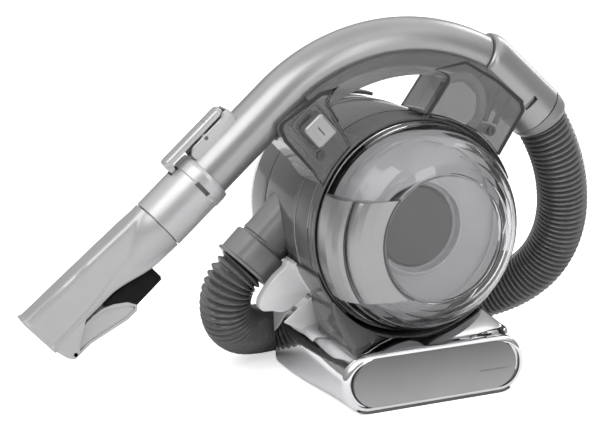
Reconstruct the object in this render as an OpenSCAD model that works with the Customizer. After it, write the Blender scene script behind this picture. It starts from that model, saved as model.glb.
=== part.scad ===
// Handheld vacuum cleaner. A drum with a clear dust bowl stands on a battery base. The wand lies
// over the drum as the carrying handle, and a corrugated hose runs from the wand's elbow, behind
// the base, to an inlet on the drum's left. Millimetres, +Z up, the bowl faces -Y, the nozzle -X.
// The origin is the centre of the base's underside.

/* [Drum] */
// Height of the drum's axis above the floor
axis_z = 124; // [123.5:0.5:126]
// Outer radius of the motor housing
housing_r = 81; // [80:0.25:81]
// Thickness of the moulded walls
wall = 2.5; // [2:0.1:2.8]
// Front face of the dust bowl, measured from the wand's side of the origin
bowl_front = 86; // [84:0.5:88]
// Rear face of the vent cover
vent_back = 97; // [96:0.5:99]

/* [Base] */
// How far the base's middle lies left of the drum's axis
base_shift = 3.5; // [2:0.5:4]
// Width of the base
base_w = 148; // [144:1:150]
// Height of the base's straight body
base_h = 44; // [43:0.5:44]
// Depth of the base in front of the origin
base_front = 83; // [81:0.5:84]
// Depth of the base behind the origin
base_back = 58; // [54:1:58]

/* [Wand] */
// Outer radius of the wand tube
tube_r = 18; // [17.5:0.1:18]
// Radius of the wand's arc, at the tube's centre
arc_r = 144; // [143:0.5:145]
// Slope of the wand's straight end
slope = 41.5; // [40:0.5:43]
// How far the wand's plane lies in front of the drum's middle
wand_y = 20; // [18:0.5:22]

/* [Hose] */
// Outer diameter of the hose
hose_d = 41; // [38:0.5:41]

/* [Hidden] */
$fn = 96;

gap = 0.4;                        // free space between bodies that move apart
arc_c = [-4, 114.5];              // centre of the wand's arc, as X and Z
bore_r = tube_r - 1.7;            // inside of the wand tube
elbow_a = 27.5;                   // arc angles right of the top: elbow start, cuff start, end
cuff_a = 51.6;
end_a = 57.9;
elbow_r = tube_r + 4.5;
straight_end = 80;                // how far the tube runs on past its arc
band_r = housing_r + wall;        // outside of the smoke band
saddle_r = band_r + 0.6;          // the base's saddle under the band
duct_y = 40;                      // plane of the inlet duct
duct_in = [-58, 134];             // duct's inner end, and cuff's lower end, as X and Z
duct_out = [-107, 85];
shaft_r = 1.6;

// ---- placing ----

// An outline drawn in X and Z, extruded along Y
module along_y(y0, y1) {
    translate([0, y1, 0]) rotate([90, 0, 0]) linear_extrude(y1 - y0) children();
}

// A profile of radius and Y, turned about the drum's axis
module turned(z = axis_z) {
    translate([0, 0, z]) rotate([-90, 0, 0]) rotate_extrude() children();
}

// A full or partial turn of a profile of radius and Y, between two angles from +X towards +Z
module turned_part(a0, a1) {
    translate([0, 0, axis_z]) rotate([90, 0, 0]) rotate([0, 0, a0])
        rotate_extrude(angle = a1 - a0) mirror([0, 1]) children();
}

// Local frame of the wand's straight end: X towards the nozzle, Z outwards, Y to the rear
module wand_frame() {
    translate([arc_c[0] - arc_r * sin(slope), -wand_y, arc_c[1] + arc_r * cos(slope)])
        rotate([0, -slope, 0]) rotate([0, 0, 180]) children();
}

// A solid of round section along the wand's arc, between two angles from the top
module arc_tube(r, a0, a1) {
    translate([arc_c[0], -wand_y, arc_c[1]]) rotate([90, 0, 0]) rotate([0, 0, 90 - a1])
        rotate_extrude(angle = a1 - a0) translate([arc_r, 0]) circle(r);
}

// A hollow tube along the wand's arc
module arc_ring(r_out, r_in, a0, a1) {
    translate([arc_c[0], -wand_y, arc_c[1]]) rotate([90, 0, 0]) rotate([0, 0, 90 - a1])
        rotate_extrude(angle = a1 - a0) translate([arc_r, 0]) difference() {
            circle(r_out);
            circle(r_in);
        }
}

// A cylinder along the local X axis
module along_x(r, x0, x1) {
    translate([x0, 0, 0]) rotate([0, 90, 0]) cylinder(r = r, h = x1 - x0);
}

// A ring about the drum's axis
module drum_ring(ro, ri, y0, y1) {
    turned() translate([ri, y0]) square([ro - ri, y1 - y0]);
}

module drum_solid(r, y0, y1) {
    along_y(y0, y1) translate([0, axis_z]) circle(r);
}

// ---- base ----

base_round = 21;
corner_r = 11;
panel_w = 132.6;                  // the front plate
panel_h = 37.4;
wing_y = [5, 14.5];               // front and back of the saddle's wings

module stadium(w, h, r) {
    for (x = [-1, 1]) for (z = [r, h - r]) translate([x * (w / 2 - r), z]) circle(r);
    translate([r - w / 2, 0]) square([w - 2 * r, h]);
    if (h > 2 * r) translate([-w / 2, r]) square([w, h - 2 * r]);
}

module base_outline(inset = 0) {
    translate([-base_shift, inset])
        stadium(base_w - 2 * inset, base_h - 2 * inset, base_round);
}

// The wing that rises beside the drum on the right
module right_wing(inset = 0) {
    polygon([[66.5 - inset, 30], [66 - inset, 40 - inset], [47 - inset, 61 - inset],
             [30, 61 - inset], [30, 30]]);
}

// The higher and shorter wing on the left, behind the drum's saddle
module left_wing(inset = 0) {
    polygon([[-73.5 + inset, 30], [-73 + inset, 41 - inset], [-60.4 + inset, 63 - inset],
             [-30, 63 - inset], [-30, 30]]);
}

module base_shell() {
    color([0.86, 0.86, 0.87]) difference() {
        union() {
            along_y(-base_front, base_back) base_outline();
            along_y(-62, base_back) right_wing();
            along_y(wing_y[1] + 0.2, base_back) left_wing();
        }
        difference() {
            along_y(-base_front + wall, base_back - wall) intersection() {
                base_outline(wall);
                translate([-base_w, 0]) square([2 * base_w, base_h - wall]);
            }
            drum_solid(saddle_r + 2.4 + wall, -60, base_back);
            drum_solid(band_r - 3 + wall, -base_front, -60);
            screw_bosses();
        }
        screw_places() cylinder(r = 1.55, h = 14);
        drum_solid(band_r - 3, -base_front - 1, -45);
        drum_solid(saddle_r + 2.4, -45.5, base_back + 1);
        translate([-base_w, -base_front - 1, -1]) cube([2 * base_w, 200, 4]);
        along_y(-base_front - 1, -base_front + wall + 1) translate([-base_shift, 4])
            stadium(panel_w + 0.6, panel_h + 0.6, panel_h / 2);
        socket_at() cylinder(r = 5.1, h = 30, center = true);
        rear_corners();
    }
}

// What rounds the base's two rear corners in plan
module rear_corners() {
    translate([-base_shift, 0, 0]) for (m = [0, 1]) mirror([m, 0, 0])
        translate([base_w / 2 - corner_r, base_back - corner_r, -1]) difference() {
            cube([corner_r + 1, corner_r + 1, 80]);
            cylinder(r = corner_r, h = 80);
        }
}

// Flat plate that closes the base from below and stands on the floor
module base_tray() {
    color([0.3, 0.3, 0.31]) difference() {
        intersection() {
            along_y(-base_front + 0.6, base_back - 0.6) translate([-base_shift, 0])
                stadium(base_w - 1.2, base_h, base_round);
            translate([-base_w, -base_front, 0]) cube([2 * base_w, 200, 2.8]);
        }
        rear_corners();
        pad_places() translate([0, 0, -1]) cylinder(r = 6.2, h = 2.6);
        screw_places() translate([0, 0, -1]) cylinder(r = 1.7, h = 5);
        screw_places() translate([0, 0, -1]) cylinder(r = 3.2, h = 2.4);
    }
}

module pad_places() {
    for (x = [-44, 44]) for (y = [-68, 44]) translate([x, y, 0]) children();
}

// Two screws in front of the cells and two behind them
module screw_places() {
    for (x = [-44, 44]) translate([x, -50, 0]) children();
    for (x = [-11, 11]) translate([x, 51.6, 0]) children();
}

module screw_bosses() {
    screw_places() cylinder(r = 3, h = base_h);
}

module base_pads() {
    color([0.12, 0.12, 0.12]) pad_places() cylinder(r = 6.15, h = 1.6);
}

module base_screws() {
    color([0.55, 0.55, 0.57]) screw_places() difference() {
        union() {
            translate([0, 0, 0.3]) cylinder(r = 3, h = 1.1);
            cylinder(r = 1.5, h = 6);
        }
        for (a = [0, 90]) rotate(a) translate([-2, -0.4, -0.1]) cube([4, 0.8, 1]);
    }
}

// Dark stadium plate set into the base's front
module front_panel() {
    color([0.32, 0.33, 0.34]) difference() {
        union() {
            along_y(-base_front - 2, -base_front + wall) translate([-base_shift, 4.3])
                stadium(panel_w, panel_h, panel_h / 2 - 0.4);
            along_y(-base_front + wall + 0.1, -base_front + wall + 2)
                translate([-base_shift, 3.6])
                    stadium(panel_w + 2, panel_h - 0.2, panel_h / 2 - 0.4);
        }
        translate([31, -base_front - 3, 20]) cube([29, 2, 0.8]);
    }
}

cell_xs = [-44, -22, 0, 22, 44];
cell_z = 14.5;

module battery_cells() {
    color([0.25, 0.4, 0.55]) for (x = cell_xs) translate([x, -16, cell_z])
        rotate([-90, 0, 0]) {
            cylinder(r = 9.1, h = 64);
            translate([0, 0, 64]) cylinder(r = 4, h = 1);
        }
}

module cell_holder() {
    color([0.2, 0.2, 0.21]) difference() {
        union() {
            for (y = [-14, 38]) translate([-53.5, y, 3]) cube([107, 7, 13]);
            translate([-53.5, -14, 3]) cube([107, 59, 1.8]);
        }
        for (x = cell_xs) translate([x, -20, cell_z]) rotate([-90, 0, 0])
            cylinder(r = 9.25, h = 80);
    }
}

module control_board() {
    color([0.15, 0.35, 0.2]) {
        difference() {
            translate([-36, -62, 8]) cube([72, 38, 1.6]);
            for (x = [-32, 32]) for (y = [-58, -28]) translate([x, y, 7])
                cylinder(r = 1.6, h = 4);
        }
        translate([-24, -50, 9.6]) cube([10, 10, 3]);
        translate([4, -54, 9.6]) cube([14, 14, 7]);
        for (x = [-6, 24]) translate([x, -34, 9.6]) cylinder(r = 3.5, h = 9);
        for (x = [-32, 32]) for (y = [-58, -28]) translate([x, y, 3])
            cylinder(r = 1.5, h = 5);
    }
}

// Barrel socket for the charger's plug, on the base's right side
module socket_at() {
    translate([base_w / 2 - base_shift, -40, base_round]) rotate([0, 90, 0]) children();
}

module charge_socket() {
    color([0.1, 0.1, 0.1]) socket_at() difference() {
        union() {
            translate([0, 0, -14]) cylinder(r = 5, h = 14);
            translate([0, 0, -wall - 2.2]) cylinder(r = 6.4, h = 1.6);
        }
        translate([0, 0, -10]) cylinder(r = 2.85, h = 11);
    }
}

// ---- saddle under the drum ----

module wing_outline() {
    polygon([[-70, 99], [-84, 96], [-93, 88], [-101, 80], [-107, 71], [-107.6, 65],
             [-105, 60.5], [-95, 58.2], [-88, 55.5], [-81, 57], [-71, 64], [-52, 74]]);
}

// Silver saddle between base and drum, with a wing flared out on the left
module cradle() {
    color([0.8, 0.8, 0.8]) difference() {
        union() {
            intersection() {
                drum_solid(saddle_r + 2, -3, base_back - 2);
                along_y(-3, base_back - 2) translate([-79, 30]) square([158, 66]);
            }
            along_y(wing_y[0], wing_y[1]) wing_outline();
        }
        drum_solid(band_r, -4, base_back);
        duct_frame() translate([0, 0, -10]) cylinder(r = 25.6, h = 60);
        along_y(wing_y[0] + 2.2, wing_y[1] + 1) difference() {
            offset(-2.2) wing_outline();
            translate([0, axis_z]) circle(saddle_r + 2.6);
        }
    }
}

// Dark smoke moulding in front of the cradle, with a skirt that spreads onto the base's left side
module lower_housing() {
    color([0.3, 0.3, 0.32, 0.8]) difference() {
        union() {
            intersection() {
                drum_solid(saddle_r + 2.1, -44, -4);
                along_y(-44, -4) translate([-79, 30]) square([158, 66]);
            }
            hull() {
                translate([0, 0, base_h + 0.05]) linear_extrude(0.4)
                    polygon([[-59.5, -66], [-59.5, -3.4], [-28, -3.4], [-28, -47]]);
                translate([-68, -46, 74]) cube([2, 42.6, 1]);
            }
        }
        drum_solid(saddle_r - 0.2, -80, 20);
    }
}

// ---- drum ----

module motor_housing() {
    color([0.72, 0.72, 0.73]) difference() {
        union() {
            drum_ring(housing_r, housing_r - wall, -3.8, 57);
            drum_ring(housing_r - wall + 0.1, 70, -3.8, -1.8);
        }
        duct_hole(19.8);
        along_y(-5, -1) channel_outline(51, 78, channel_a[0] - 1, channel_a[1] + 1);
    }
}

// Dark ring behind the bowl, with the wall that the filter seals against
module front_housing() {
    color([0.25, 0.25, 0.26]) difference() {
        union() {
            drum_ring(housing_r - 0.3, housing_r - wall, -38.6, -4);
            drum_ring(housing_r - wall + 0.1, 22, -12, -9.5);
        }
        along_y(-13, -9) channel_outline(52, 78, channel_a[0] - 1, channel_a[1] + 1);
    }
}

module rear_housing() {
    color([0.28, 0.28, 0.29]) difference() {
        turned() polygon([[housing_r + 0.5, 57.2], [housing_r + 0.5, 62], [80, 88], [77.4, 88],
                          [housing_r - 2, 62], [housing_r - 2, 57.2]]);
        duct_hole(20);
    }
}

// Pale disc that closes the drum's back, with rings of slots for the exhaust
module vent_cover() {
    color([0.93, 0.93, 0.93]) difference() {
        turned() polygon([[80, 88.2], [80.5, 91], [79, 94.5], [75, vent_back],
                          [0, vent_back], [0, vent_back - 2.4], [74, vent_back - 2.4],
                          [77.4, 92], [77.2, 88.2]]);
        for (a = [0:15:345]) translate([0, vent_back, axis_z]) rotate([0, a, 0])
            translate([36, -4, -1.6]) cube([28, 6, 3.2]);
        for (a = [0:45:315]) translate([0, vent_back, axis_z]) rotate([0, a, 0])
            translate([12, -4, -1.6]) cube([16, 6, 3.2]);
    }
}

// Tab that springs the vent cover off, on top of the drum
module vent_catch() {
    color([0.9, 0.9, 0.9]) difference() {
        along_y(80, 94) intersection() {
            translate([0, axis_z]) circle(band_r + 1.6);
            translate([-10, axis_z + 60]) square([34, 40]);
        }
        turned() polygon([[0, 70], [housing_r + 0.8, 70], [housing_r + 0.8, 95], [0, 95]]);
    }
}

module exhaust_foam() {
    color([0.2, 0.2, 0.2]) drum_solid(72, 81, 86);
}

module motor_can() {
    color([0.6, 0.6, 0.62]) difference() {
        drum_solid(24, 12, 62);
        drum_solid(shaft_r + 0.06, 11, 63);
    }
}

module motor_end_cap() {
    color([0.2, 0.2, 0.2]) difference() {
        union() {
            drum_solid(22, 62.1, 70);
            for (x = [-12, 12]) translate([x - 3, 70, axis_z - 0.4]) cube([6, 6, 0.8]);
        }
        drum_solid(shaft_r + 0.3, 61, 71);
    }
}

module motor_rings() {
    color([0.1, 0.1, 0.1]) for (y = [14, 44]) drum_ring(27, 24.1, y, y + 6);
}

// Three-armed plate that holds the motor in the housing
module motor_spider() {
    color([0.3, 0.3, 0.31]) for (y = [14.5, 44.5]) {
        drum_ring(31, 27.1, y, y + 5);
        intersection() {
            drum_ring(housing_r - wall - 0.1, 28, y + 1, y + 4);
            for (a = [90, 225, 315]) translate([0, y, axis_z]) rotate([0, -a, 0])
                translate([28, 0, -6]) cube([60, 5, 12]);
        }
    }
}

module fan_shroud() {
    color([0.34, 0.34, 0.35]) turned()
        polygon([[24, -9.4], [52, -9.4], [52, 9], [49.5, 9], [49.5, -6.9], [24, -6.9]]);
}

module impeller() {
    color([0.85, 0.85, 0.8]) {
        drum_ring(46, shaft_r, 2, 4);
        drum_ring(6, shaft_r, -5, 2.1);
        for (a = [0:40:320]) translate([0, -4.5, axis_z]) rotate([0, a, 0])
            translate([5.5, 0, -0.6]) rotate([0, 14, 0]) cube([38, 6.6, 1.2]);
    }
}

module motor_shaft() {
    color([0.75, 0.75, 0.76]) drum_solid(shaft_r, -6.5, 74);
}

// ---- inlet ----

// Outline of a curved channel against the housing's wall, between two radii and angles
module channel_outline(r0, r1, a0, a1) {
    translate([0, axis_z]) difference() {
        circle(r1);
        circle(r0);
        rotate(a0 - 180) translate([-200, 0]) square([400, 200]);
        rotate(a1) translate([-200, 0]) square([400, 200]);
    }
}

channel_a = [158, 206];            // the channel's two sides, from +X towards +Z

// The duct's slope and length
duct_a = atan2(duct_in[1] - duct_out[1], duct_in[0] - duct_out[0]);
duct_len = norm(duct_in - duct_out);

module duct_frame() {
    translate([duct_out[0], duct_y, duct_out[1]]) rotate([0, 90 - duct_a, 0]) children();
}

module duct_hole(r) {
    duct_frame() translate([0, 0, 20]) cylinder(r = r, h = duct_len - 18);
}

// Carries the air from the side duct forwards to the bowl
module inlet_channel() {
    color([0.3, 0.3, 0.31]) difference() {
        along_y(-36.8, 60) channel_outline(53, 77.6, channel_a[0], channel_a[1]);
        along_y(-38, 58) channel_outline(55, 75.6, channel_a[0] + 2, channel_a[1] - 2);
        duct_hole(17);
    }
}

module inlet_duct() {
    color([0.35, 0.35, 0.36]) difference() {
        duct_frame() rotate_extrude()
            polygon([[17.5, 8], [20.4, 8], [20.4, 24], [19.6, 28], [19.6, duct_len],
                     [17.5, duct_len]]);
        drum_solid(77.7, duct_y - 30, duct_y + 30);
    }
}

module hose_cuff() {
    color([0.5, 0.5, 0.51]) duct_frame() rotate_extrude()
        polygon([[18.5, 0], [25, 0], [25, 2], [23.4, 2.6], [23, 22], [22, 22.6], [20.5, 22.6],
                 [20.5, 7.9], [18.5, 7.9]]);
}

// ---- hose ----

hose_route = [
    [118.1, -20, 190.8], [128, -19.5, 173.5], [137, -17, 154], [144, -12, 133],
    [148.5, -5, 110], [149, 5, 87], [144, 18, 65], [133, 34, 47], [118, 52, 34],
    [101, 68, 26], [82, 80, 22], [58, 85, 21], [30, 86, 20.8], [0, 86, 20.8],
    [-25, 85.5, 20.8], [-46, 84, 20.8], [-66, 81, 20.8], [-86, 74.5, 22.5],
    [-102, 64, 28], [-113.5, 54, 38], [-119.5, 47, 51], [-120, 42.5, 65],
    [-115, 40.5, 77], [-107, 40, 85]
];
hose_turn = [0.53, 0, -0.848];       // directions in which the hose leaves and arrives
hose_home = [0.707, 0, 0.707];

function unit(v) = v / norm(v);
function heading(p, i) = i == 0 ? hose_turn : i == len(p) - 1 ? hose_home
    : unit(p[i + 1] - p[i - 1]);
// Sideways direction carried along the route, so that the rings don't twist
function carry(p, i, side) = unit(side - (side * heading(p, i)) * heading(p, i));
function sides(p, i, side) = i == len(p) ? [] : let (s = carry(p, i, side))
    concat([s], sides(p, i + 1, s));

// One closed tube through the route's points
module swept_tube(p, r, n) {
    side = sides(p, 0, [0, 1, 0]);
    rings = [for (i = [0:len(p) - 1]) let (u = side[i], w = cross(heading(p, i), u))
        for (k = [0:n - 1]) p[i] + r * (cos(360 * k / n) * u + sin(360 * k / n) * w)];
    last = (len(p) - 1) * n;
    walls = [for (i = [0:len(p) - 2]) for (k = [0:n - 1]) let (j = (k + 1) % n)
        [i * n + k, i * n + j, (i + 1) * n + j, (i + 1) * n + k]];
    polyhedron(rings, concat([[for (k = [n - 1:-1:0]) k]], walls,
               [[for (k = [0:n - 1]) last + k]]));
}

module hose() {
    color([0.4, 0.4, 0.41]) swept_tube(hose_route, hose_d / 2, 12);
}

// ---- handle frame ----

band_left = [122, 226];            // the band's two arcs, from +X towards +Z
band_right = [20, 82];

// Smoke band on the drum's left side, with a shorter arc under the right leg
module drum_band() {
    color([0.45, 0.45, 0.47, 0.6]) for (a = [band_left, band_right])
        turned_part(a[0], a[1])
            polygon([[housing_r + 0.1, -4], [band_r, -4], [band_r, -44], [housing_r + 0.6, -44],
                     [housing_r + 0.6, -38.4], [housing_r + 0.1, -38.4]]);
}

// The frame's outline in X and Z: a saddle under the wand and a leg at each end
module frame_outline(inset = 0) {
    difference() {
        union() {
            translate(arc_c) difference() {
                circle(138 - inset);
                circle(122 + inset);
                polygon([[0, 0], [-400, 295], [-400, -400], [400, -400], [400, 380]]);
            }
            polygon([[-80 + inset, 226 - inset], [-108 + 1.4 * inset, 206],
                     [-104 + 1.2 * inset, 196], [-72, 158], [-50 - 1.4 * inset, 184],
                     [-70 - 1.2 * inset, 222 + inset]]);
            polygon([[20 + 1.6 * inset, 238 - inset], [27 + 1.2 * inset, 233],
                     [5 + 1.4 * inset, 204], [30, 150], [66 - 1.4 * inset, 168],
                     [90.5 - 1.3 * inset, 203], [90 - 1.2 * inset, 211 - inset],
                     [60, 232 - inset]]);
        }
        translate([0, axis_z]) circle(band_r + 0.1 + inset);
    }
}

module frame_half(y0, y1, open0, open1) {
    difference() {
        union() {
            difference() {
                along_y(y0, y1) frame_outline();
                along_y(open0, open1) frame_outline(2.2);
            }
            along_y(y0 + 1, y1 - 1) frame_posts(4.2);
        }
        arc_tube(tube_r + gap, -58, elbow_a + 1);
        arc_tube(elbow_r + gap, elbow_a - 1, 75);
        frame_screw_places() translate([0, 0, -1]) cylinder(r = 1.6, h = 60);
        slider_slot();
    }
}

frame_screw_xz = [[-76, 184], [62, 190.5]];

module frame_posts(r) {
    for (p = frame_screw_xz) translate(p) circle(r);
}

// Screws run along +Y from the frame's front face
module frame_screw_places() {
    for (p = frame_screw_xz) translate([p[0], -41.5, p[1]]) rotate([-90, 0, 0]) children();
}

module frame_front() {
    color([0.5, 0.5, 0.52, 0.55]) frame_half(-42, -20.1, -40, -15);
}

module frame_rear() {
    color([0.5, 0.5, 0.52, 0.55]) frame_half(-19.9, 0, -25, -2);
}

module frame_screws() {
    color([0.4, 0.4, 0.41]) frame_screw_places() difference() {
        union() {
            cylinder(r = 1.5, h = 34);
            translate([0, 0, -2.2]) cylinder(r = 3, h = 1.7);
            translate([0, 0, -0.6]) cylinder(r = 1.5, h = 1);
        }
        for (a = [0, 90]) rotate(a) translate([-2, -0.4, -2.4]) cube([4, 0.8, 1]);
    }
}

slider_c = [-79, 203];             // middle of the power slider, and the tilt of the leg
slider_tilt = -49;

module slider_place(dy = 0) {
    translate([slider_c[0], dy, slider_c[1]]) rotate([90, 0, 0]) rotate([0, 0, slider_tilt])
        children();
}

module slider_slot() {
    slider_place(-38) translate([-8, -3, -4]) cube([16, 6, 10]);
}

// Rounded-square thumb button that slides along the leg to switch on
module power_slider() {
    color([0.75, 0.75, 0.76]) {
        slider_place(-42.5) difference() {
            linear_extrude(9.5) square_round(19, 18, 4.5);
            translate([-4, -0.4, 9.1]) cube([8, 0.8, 1]);
        }
        slider_place(-35) translate([-4, -2.4, 0]) cube([8, 4.8, 7.6]);
    }
}

module square_round(w, h, r) {
    for (x = [-1, 1]) for (y = [-1, 1]) translate([x * (w / 2 - r), y * (h / 2 - r)]) circle(r);
    square([w - 2 * r, h], center = true);
    square([w, h - 2 * r], center = true);
}

module power_switch() {
    color([0.12, 0.12, 0.12]) slider_place(-25) {
        translate([-9, -5, 0]) cube([18, 10, 7]);
        for (x = [-6, 0, 6]) translate([x - 0.6, -2, -3]) cube([1.2, 4, 3.1]);
    }
}

// ---- dust bowl ----

module dust_bowl() {
    color([0.6, 0.62, 0.64, 0.45]) turned()
        polygon([[0, -bowl_front], [46, -bowl_front], [49, -85], [54, -83.2], [60, -79.5],
                 [66, -73.6], [70, -68.2], [72, -64.4], [75.4, -56], [77.6, -49],
                 [78.4, -44.2], [78.4, -41], [76, -41], [75.2, -49], [73, -56.6],
                 [69.8, -64.2], [64.4, -72], [58.6, -77.6], [53, -81], [48, -82.7],
                 [45.5, 2.4 - bowl_front], [0, 2.4 - bowl_front]]);
}

module bowl_seal() {
    color([0.1, 0.1, 0.1]) drum_ring(78.2, 75.6, -40.9, -38.8);
}

// Plate across the bowl's back that carries the filter, with a cup ring before it
module filter_frame() {
    color([0.3, 0.3, 0.31]) {
        difference() {
            union() {
                drum_ring(71.8, 30.4, -40.5, -37.5);
                drum_ring(36, 33.2, -47, -40.4);
            }
            along_y(-41, -37) channel_outline(55, 70, channel_a[0] + 2, channel_a[1] - 2);
        }
        for (a = [0:45:315]) translate([0, 0, axis_z]) rotate([0, a, 0])
            cage_rib();
        drum_ring(36, 30, -16, -14);
    }
}

// One rib of the filter's cage, from the plate to the ring at its back
module cage_rib() {
    translate([34.4, -37.6, -0.9]) cube([1.6, 22, 1.8]);
}

module filter_pleats() {
    teeth = 36;
    color([0.9, 0.9, 0.88]) difference() {
        along_y(-39, -16.1) translate([0, axis_z]) polygon([for (i = [0:2 * teeth - 1])
            let (r = i % 2 == 0 ? 33.6 : 29.8) r * [cos(180 * i / teeth), sin(180 * i / teeth)]]);
        drum_solid(26, -40, -16);
        drum_ring(40, 30.2, -41, -37.4);
    }
}

// Dark disc that closes the filter's front
module filter_cap() {
    color([0.33, 0.33, 0.34]) turned()
        polygon([[0, -43], [28.4, -43], [29.8, -42], [29.8, -39.1], [0, -39.1]]);
}

latch_z = [-41.5, 32.8];            // the latch's lower and upper end, from the axis

// Keeps the part of a turned shape between the latch's two ends
module latch_span(inset = 0) {
    intersection() {
        children();
        translate([-100, -100, axis_z + latch_z[0] + inset])
            cube([100, 100, latch_z[1] - latch_z[0] - 2 * inset]);
    }
}

// Grip that wraps the bowl's left edge
module latch_grip() {
    color([0.78, 0.78, 0.79]) latch_span() turned_part(135, 240)
        polygon([[79.4, -46], [81.4, -46], [82.4, -52], [82.4, -64], [80.5, -71], [78, -76.5],
                 [75, -78.5], [73.6, -76], [73, -66], [76.6, -56]]);
}

module latch_button() {
    color([0.74, 0.74, 0.75]) latch_span(0.6) turned_part(135, 240)
        polygon([[73.2, -79.5], [72.6, -83], [70.5, -85.5], [66, -87.4], [58, -88.6],
                 [50, -89.2], [49, -88.8], [49, -87.6], [55, -85.6], [60, -82.2],
                 [66, -76.8], [69.6, -72], [72.4, -74]]);
}

// ---- wand ----

// The arched part of the wand, which the hand carries the vacuum by
module wand_grip() {
    color([0.74, 0.74, 0.75]) arc_ring(tube_r, bore_r, -slope, elbow_a);
}

// The straight tube that runs on from the grip into the collar
module wand_tube() {
    color([0.74, 0.74, 0.75]) wand_frame() rotate([0, 90, 0]) rotate_extrude()
        translate([bore_r, 0]) square([tube_r - bore_r, straight_end]);
}

// Fatter moulding that turns the tube down to the hose
module wand_elbow() {
    color([0.78, 0.78, 0.79]) difference() {
        arc_ring(elbow_r, tube_r - 0.5, elbow_a + 0.05, cuff_a);
        window_place() cube([4.4, 6, 12.4], center = true);
    }
}

module window_place() {
    translate([arc_c[0], -wand_y - elbow_r + 1, arc_c[1]]) rotate([0, 46.7, 0])
        translate([0, 0, arc_r - 7]) children();
}

module wand_cuff() {
    color([0.45, 0.45, 0.46]) arc_ring(elbow_r - 1, tube_r - 0.5, cuff_a + 0.05, end_a);
}

collar_s = [74, 122.5];            // where the collar starts and ends along the wand

module wand_collar() {
    color([0.72, 0.72, 0.73]) difference() {
        wand_frame() {
            along_x(20.4, collar_s[0], collar_s[1]);
            along_x(21, collar_s[0] + 3, collar_s[0] + 11);
        }
        wand_frame() along_x(bore_r - 0.3, collar_s[0] - 1, collar_s[1] + 1);
        wand_frame() along_x(tube_r + 0.02, collar_s[0] - 1, straight_end);
        wand_frame() translate([83, -23.6, -4.5]) cube([3.6, 6, 12.6]);
        wand_frame() translate([85, -5, 14]) cube([7, 10, 10]);
    }
}

lever_s = 57;                      // the lever's pivot, along the wand and above its axis
lever_p = 21.8;

module lever_housing() {
    color([0.76, 0.76, 0.77]) difference() {
        wand_frame() translate([0, 9, 0]) rotate([90, 0, 0]) linear_extrude(18)
            polygon([[36, 12], [73, 12], [73, 21.6], [70.6, 24.2], [38.4, 24.2], [36, 21.6]]);
        wand_frame() along_x(tube_r + 0.02, 20, 90);
        wand_frame() translate([30, -6.6, 15.8]) cube([50, 13.2, 20]);
        wand_frame() translate([lever_s, 20, lever_p]) rotate([90, 0, 0])
            cylinder(r = 1.52, h = 40);
    }
}

module lever_pin() {
    color([0.6, 0.6, 0.62]) wand_frame() translate([lever_s, 9, lever_p])
        rotate([90, 0, 0]) cylinder(r = 1.5, h = 18);
}

module lever_spring() {
    color([0.65, 0.65, 0.67]) wand_frame() for (y = [-5.9, -4.7, 4.7, 5.9])
        translate([lever_s, y, lever_p]) rotate([90, 0, 0])
            rotate_extrude() translate([2.2, 0]) circle(0.5);
}

// Rocker: a long thumb bar over its lug, with a hook at the lower end
module release_lever() {
    color([0.8, 0.8, 0.81]) difference() {
        wand_frame() {
            translate([0, 6.2, 0]) rotate([90, 0, 0]) linear_extrude(12.4)
                polygon([[34.6, 24.6], [34.6, 27], [37.4, 29.8], [87.6, 29.8], [90.8, 27.6],
                         [91.2, 24.6]]);
            translate([0, 3.9, 0]) rotate([90, 0, 0]) linear_extrude(7.8)
                polygon([[52, 24.7], [91.2, 24.7], [91, 18.6], [87.6, 18.6], [86.4, 23.6],
                         [62, 23.6], [60, 19.6], [54, 19.6]]);
        }
        wand_frame() translate([lever_s, 20, lever_p]) rotate([90, 0, 0])
            cylinder(r = 1.56, h = 40);
    }
}

// ---- nozzle ----

neck_s = [24, 123];                // sliding neck inside the collar
mouth_s = 236;
pivot = [227, -19.4];                // the brush's hinge, along the wand and above its axis

module nozzle_neck() {
    color([0.7, 0.7, 0.71]) difference() {
        wand_frame() along_x(bore_r - 0.36, neck_s[0], neck_s[1] + 5);
        wand_frame() along_x(bore_r - 2.2, neck_s[0] - 1, neck_s[1] + 6);
    }
}

// Cross-section plate of the nozzle: along the wand, lowest and highest edge, half thickness
module nozzle_plate(s, p0, p1, half) {
    r = min(6, half - 0.5, (p1 - p0) / 2 - 0.5);
    translate([s, 0, (p0 + p1) / 2]) rotate([0, 90, 0]) linear_extrude(0.5)
        for (a = [-1, 1]) for (b = [-1, 1])
            translate([a * ((p1 - p0) / 2 - r), b * (half - r)]) circle(r, $fn = 32);
}

// Where the nozzle's outline changes: place, lowest and highest edge, half thickness
nozzle_stops = [[neck_s[1] + 0.2, -19.5, 19.5, 19], [147, -18, 20.4, 15.5],
                [174, -8.8, 21.6, 12], [mouth_s - 0.5, -8, 24, 10]];

module nozzle_loft(inset) {
    for (i = [0:2]) hull() for (stop = [nozzle_stops[i], nozzle_stops[i + 1]])
        nozzle_plate(stop[0], stop[1] + inset, stop[2] - inset, stop[3] - inset);
}

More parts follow.
